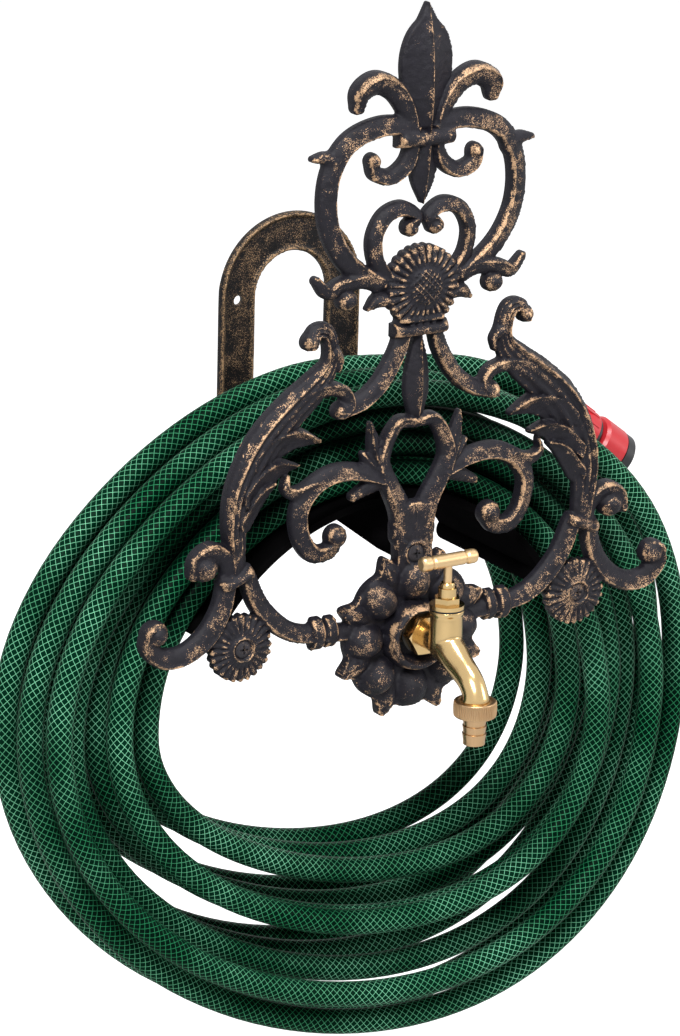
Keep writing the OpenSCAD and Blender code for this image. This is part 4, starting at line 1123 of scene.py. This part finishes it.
def middle(node):
    """Middle of a node's box, in millimetres."""
    low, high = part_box(node)
    return [(a + b) / 2 / MM for a, b in zip(low, high)]


knurled = ribbed_ring().grow(
    "knurled_union_nut", "nut", standing(middle("union_nut"), (0, 0, 1)), BRASS_TURNED,
    Radius=13.3, Bore=10.6, Height=10.2, Edge=0.7, Ribs=56, Rib_width=1.1, Rib_height=9.6)
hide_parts("union_nut")

SCREW_SEAT = BACK - 8.3
screws = cross_screws().grow(
    "cross_head_screws", "holder", standing((0.0, SCREW_SEAT, SCREW_Z), (0, -1, 0)), SCREW_DARK,
    Head=11.6, Rise=1.7, Slot=1.5, Shank=6.0, Length=24.0, Side=ROSETTE[0], Drop=-ROSETTE[1])
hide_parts("ornament_screws")


# Tap: a polished casting whose spout flows out of the body, with half-inch pipe threads

THREAD_R = 10.4
THREAD_PITCH = 1.814
THREAD_DEPTH = 0.8
SPOUT_OUT = -36.0


def rows_to_piece(name, rows, material, body):
    """Closed piece through rings of points."""
    rows = np.asarray(rows, float)
    count, sides = rows.shape[:2]
    made = new_piece(name, rows.reshape(-1, 3) * MM, skin_faces(count, sides), material, body)
    outwards(made)
    return made


def turned(profile, centre, along="Z", sides=64):
    """Rings of a turned shape from its profile of (radius, height)."""
    angle = np.arange(sides) * 2 * math.pi / sides
    rows = []
    for radius, high in profile:
        a = max(radius, 0.02) * np.cos(angle)
        b = max(radius, 0.02) * np.sin(angle)
        level = np.full(sides, high)
        rows.append(np.stack((a, b, level) if along == "Z" else (a, level, b), -1) + centre)
    return rows


def threaded(low, high):
    """Profile of a pipe thread between two heights."""
    ridges = round((high - low) / THREAD_PITCH)
    return [(THREAD_R - THREAD_DEPTH * (k % 2), low + (high - low) * k / (2 * ridges))
            for k in range(2 * ridges + 1)]


def swept(points, centre, sides=40):
    """Rings of a pipe in the YZ plane through points of (y, z, radius)."""
    line = through(points, 8)
    ahead = unit_rows(np.gradient(line[:, :2], axis=0))
    angle = np.arange(sides) * 2 * math.pi / sides
    rows = []
    for (y, z, radius), (dy, dz) in zip(line, ahead):
        across = radius * np.cos(angle)
        rise = radius * np.sin(angle)
        rows.append(np.stack([across, y + rise * dz, z - rise * dy], -1) + centre)
    return rows


def melted(pieces, name, material, body, voxel, soften):
    """One skin round overlapping pieces, softened where they meet."""
    whole = bmesh.new()
    for piece in pieces:
        whole.from_mesh(piece.data)
        bpy.data.objects.remove(piece)
    mesh = bpy.data.meshes.new(name)
    whole.to_mesh(mesh)
    whole.free()
    rough = placed(name + "_rough", mesh)
    skin = rough.modifiers.new("skin", "REMESH")
    skin.mode = "VOXEL"
    skin.voxel_size = voxel * MM
    soft = rough.modifiers.new("soft", "SMOOTH")
    soft.factor = 0.5
    soft.iterations = soften
    final = settled(rough)
    final.materials.clear()
    final.materials.append(material)
    smooth(final)
    made = placed(name, final)
    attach(made, body)
    return made


def hexagon_collar(x, back, z, half=12.0, thick=9.0, bore=7.0, sides=96):
    """Collar on the inlet, a hexagon with its corners turned off at both faces."""
    angle = np.arange(sides) * 2 * math.pi / sides
    hexagon = half / np.cos(np.mod(angle, math.pi / 3) - math.pi / 6)
    cut = np.minimum(hexagon, half * 1.03)
    slope = (hexagon - cut) * 0.55
    inner = np.full(sides, bore)
    rows = []
    for radius, high in ((inner, 0.0), (cut, 0.0), (hexagon, slope), (hexagon, thick - slope),
                         (cut, thick), (inner, thick)):
        depth = np.full(sides, back) - high
        rows.append(np.stack([x + radius * np.cos(angle), depth, z + radius * np.sin(angle)], -1))
    collar = rows_to_piece("hexagon_collar", rows, BRASS_BRIGHT, "holder")
    sharpen(collar, 25.0)
    return collar


def tap_casting():
    """Body, bent spout and neck in one skin, with the collar and both threads. They are placed by
    the spindle's axis and by the gasket's front face, where the collar ends."""
    x, y, _ = middle("tap_spindle")
    z = middle("inlet_gasket")[2]
    at = np.array([x, y, z])
    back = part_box("inlet_gasket")[0][1] / MM
    bulb = [(0.0, -11.4)]
    bulb += [(10.5 * math.sin(a), -0.9 - 10.5 * math.cos(a)) for a in np.linspace(0.25, math.pi / 2, 9)]
    barrel = [(10.5, 8.0), (10.3, 18.8), (10.0, 20.4), (11.0, 21.4), (11.2, 22.4), (11.2, 24.0)]
    spout = [(4, 2.0, 9.6), (-2, 0.0, 10.3), (-8, -3.2, 10.1), (-14, -6.6, 9.5), (-20, -9.6, 8.9),
             (-26, -12.6, 8.5), (-31.2, -16.2, 8.3), (-34.8, -20.8, 8.2), (SPOUT_OUT, -24.6, 8.9),
             (SPOUT_OUT, -26.6, 9.8)]
    neck = [(8.4, back - 8.0 - y), (8.2, back - 12 - y), (8.6, 2.0)]
    skin = melted([rows_to_piece("body_rough", turned(bulb + barrel, at), BRASS_BRIGHT, "holder"),
                   rows_to_piece("spout_rough", swept(spout, at), BRASS_BRIGHT, "holder"),
                   rows_to_piece("neck_rough", turned(neck, at, "Y"), BRASS_BRIGHT, "holder")],
                  "tap_casting", BRASS_BRIGHT, "holder", voxel=0.5, soften=26)
    collar = hexagon_collar(x, back, z)
    inlet = turned(threaded(back + 0.5 - y, back + 30 - y), at, "Y")
    outlet = turned(threaded(-32.0, -26.5), at + np.array([0, SPOUT_OUT, 0]))
    threads = [rows_to_piece("inlet_thread", inlet, BRASS_SATIN, "holder"),
               rows_to_piece("spout_thread", outlet, BRASS_SATIN, "holder")]
    for thread in threads:
        sharpen(thread, 40.0)
    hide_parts("tap_body")


tap_casting()


# Floor, light and background

def sky():
    """White where the camera, a reflection or a clear piece looks, and softer as light."""
    world = bpy.data.worlds.new("studio")
    bpy.context.scene.world = world
    world.use_nodes = True
    graph = Graph(world.node_tree)
    graph.tree.nodes.clear()
    rays = graph.node("ShaderNodeLightPath", out=None).outputs
    seen = Sock(graph, rays["Is Camera Ray"])
    for kind in ("Is Glossy Ray", "Is Transmission Ray"):
        seen = seen.at_least(Sock(graph, rays[kind]))
    white = (1.0, 1.0, 1.0, 1.0)
    soft = graph.node("ShaderNodeBackground", {}, {0: white, 1: 0.18})
    full = graph.node("ShaderNodeBackground", {}, {0: white, 1: 1.0})
    mix = graph.node("ShaderNodeMixShader", {}, {0: seen, 1: soft, 2: full})
    graph.node("ShaderNodeOutputWorld", {}, {0: mix}, out=None)


def pale_floor(drop=0.12, size=6.0):
    """Floor under the piece, bright to the camera alone."""
    level = float(cad_box[0][2]) - drop
    corners = [(x * size, y * size, level) for x, y in ((-1, -1), (1, -1), (1, 1), (-1, 1))]
    mesh = bpy.data.meshes.new("floor")
    mesh.from_pydata(corners, [], [(0, 1, 2, 3)])
    mat = Mat("pale_floor").set(Base_Color=(0.86, 0.86, 0.86, 1.0), Roughness=0.9)
    glow = mat.node("ShaderNodeEmission", {}, {1: 0.75})
    lit = mat.node("ShaderNodeAddShader", {}, {0: mat.surface, 1: glow})
    seen = mat.node("ShaderNodeLightPath", out="Is Camera Ray")
    mix = mat.node("ShaderNodeMixShader", {}, {0: seen, 1: mat.surface, 2: lit})
    mat.feed(mat.end.inputs["Surface"], mix)
    mesh.materials.append(mat.material)
    placed("floor", mesh)


def lamp(name, place, aim, power, size):
    """Round lamp that shines from a place at a point."""
    data = bpy.data.lights.new(name, "AREA")
    data.energy = power
    data.shape = "DISK"
    data.size = size
    made = placed(name, data)
    made.location = place
    way = np.array(aim) - np.array(place)
    made.rotation_euler = (
        math.atan2(math.hypot(way[0], way[1]), -way[2]), 0.0, math.atan2(way[1], way[0]) - math.pi / 2)


sky()
pale_floor()
lamp("key", (-1.5, -2.0, 2.0), (0, -0.1, -0.05), 78, 0.9)
lamp("fill", (2.2, -1.8, 0.8), (0, -0.1, -0.1), 18, 1.2)
lamp("top", (0.2, -0.7, 2.4), (0, -0.1, 0.0), 36, 0.8)
bpy.context.scene.view_settings.view_transform = "Standard"
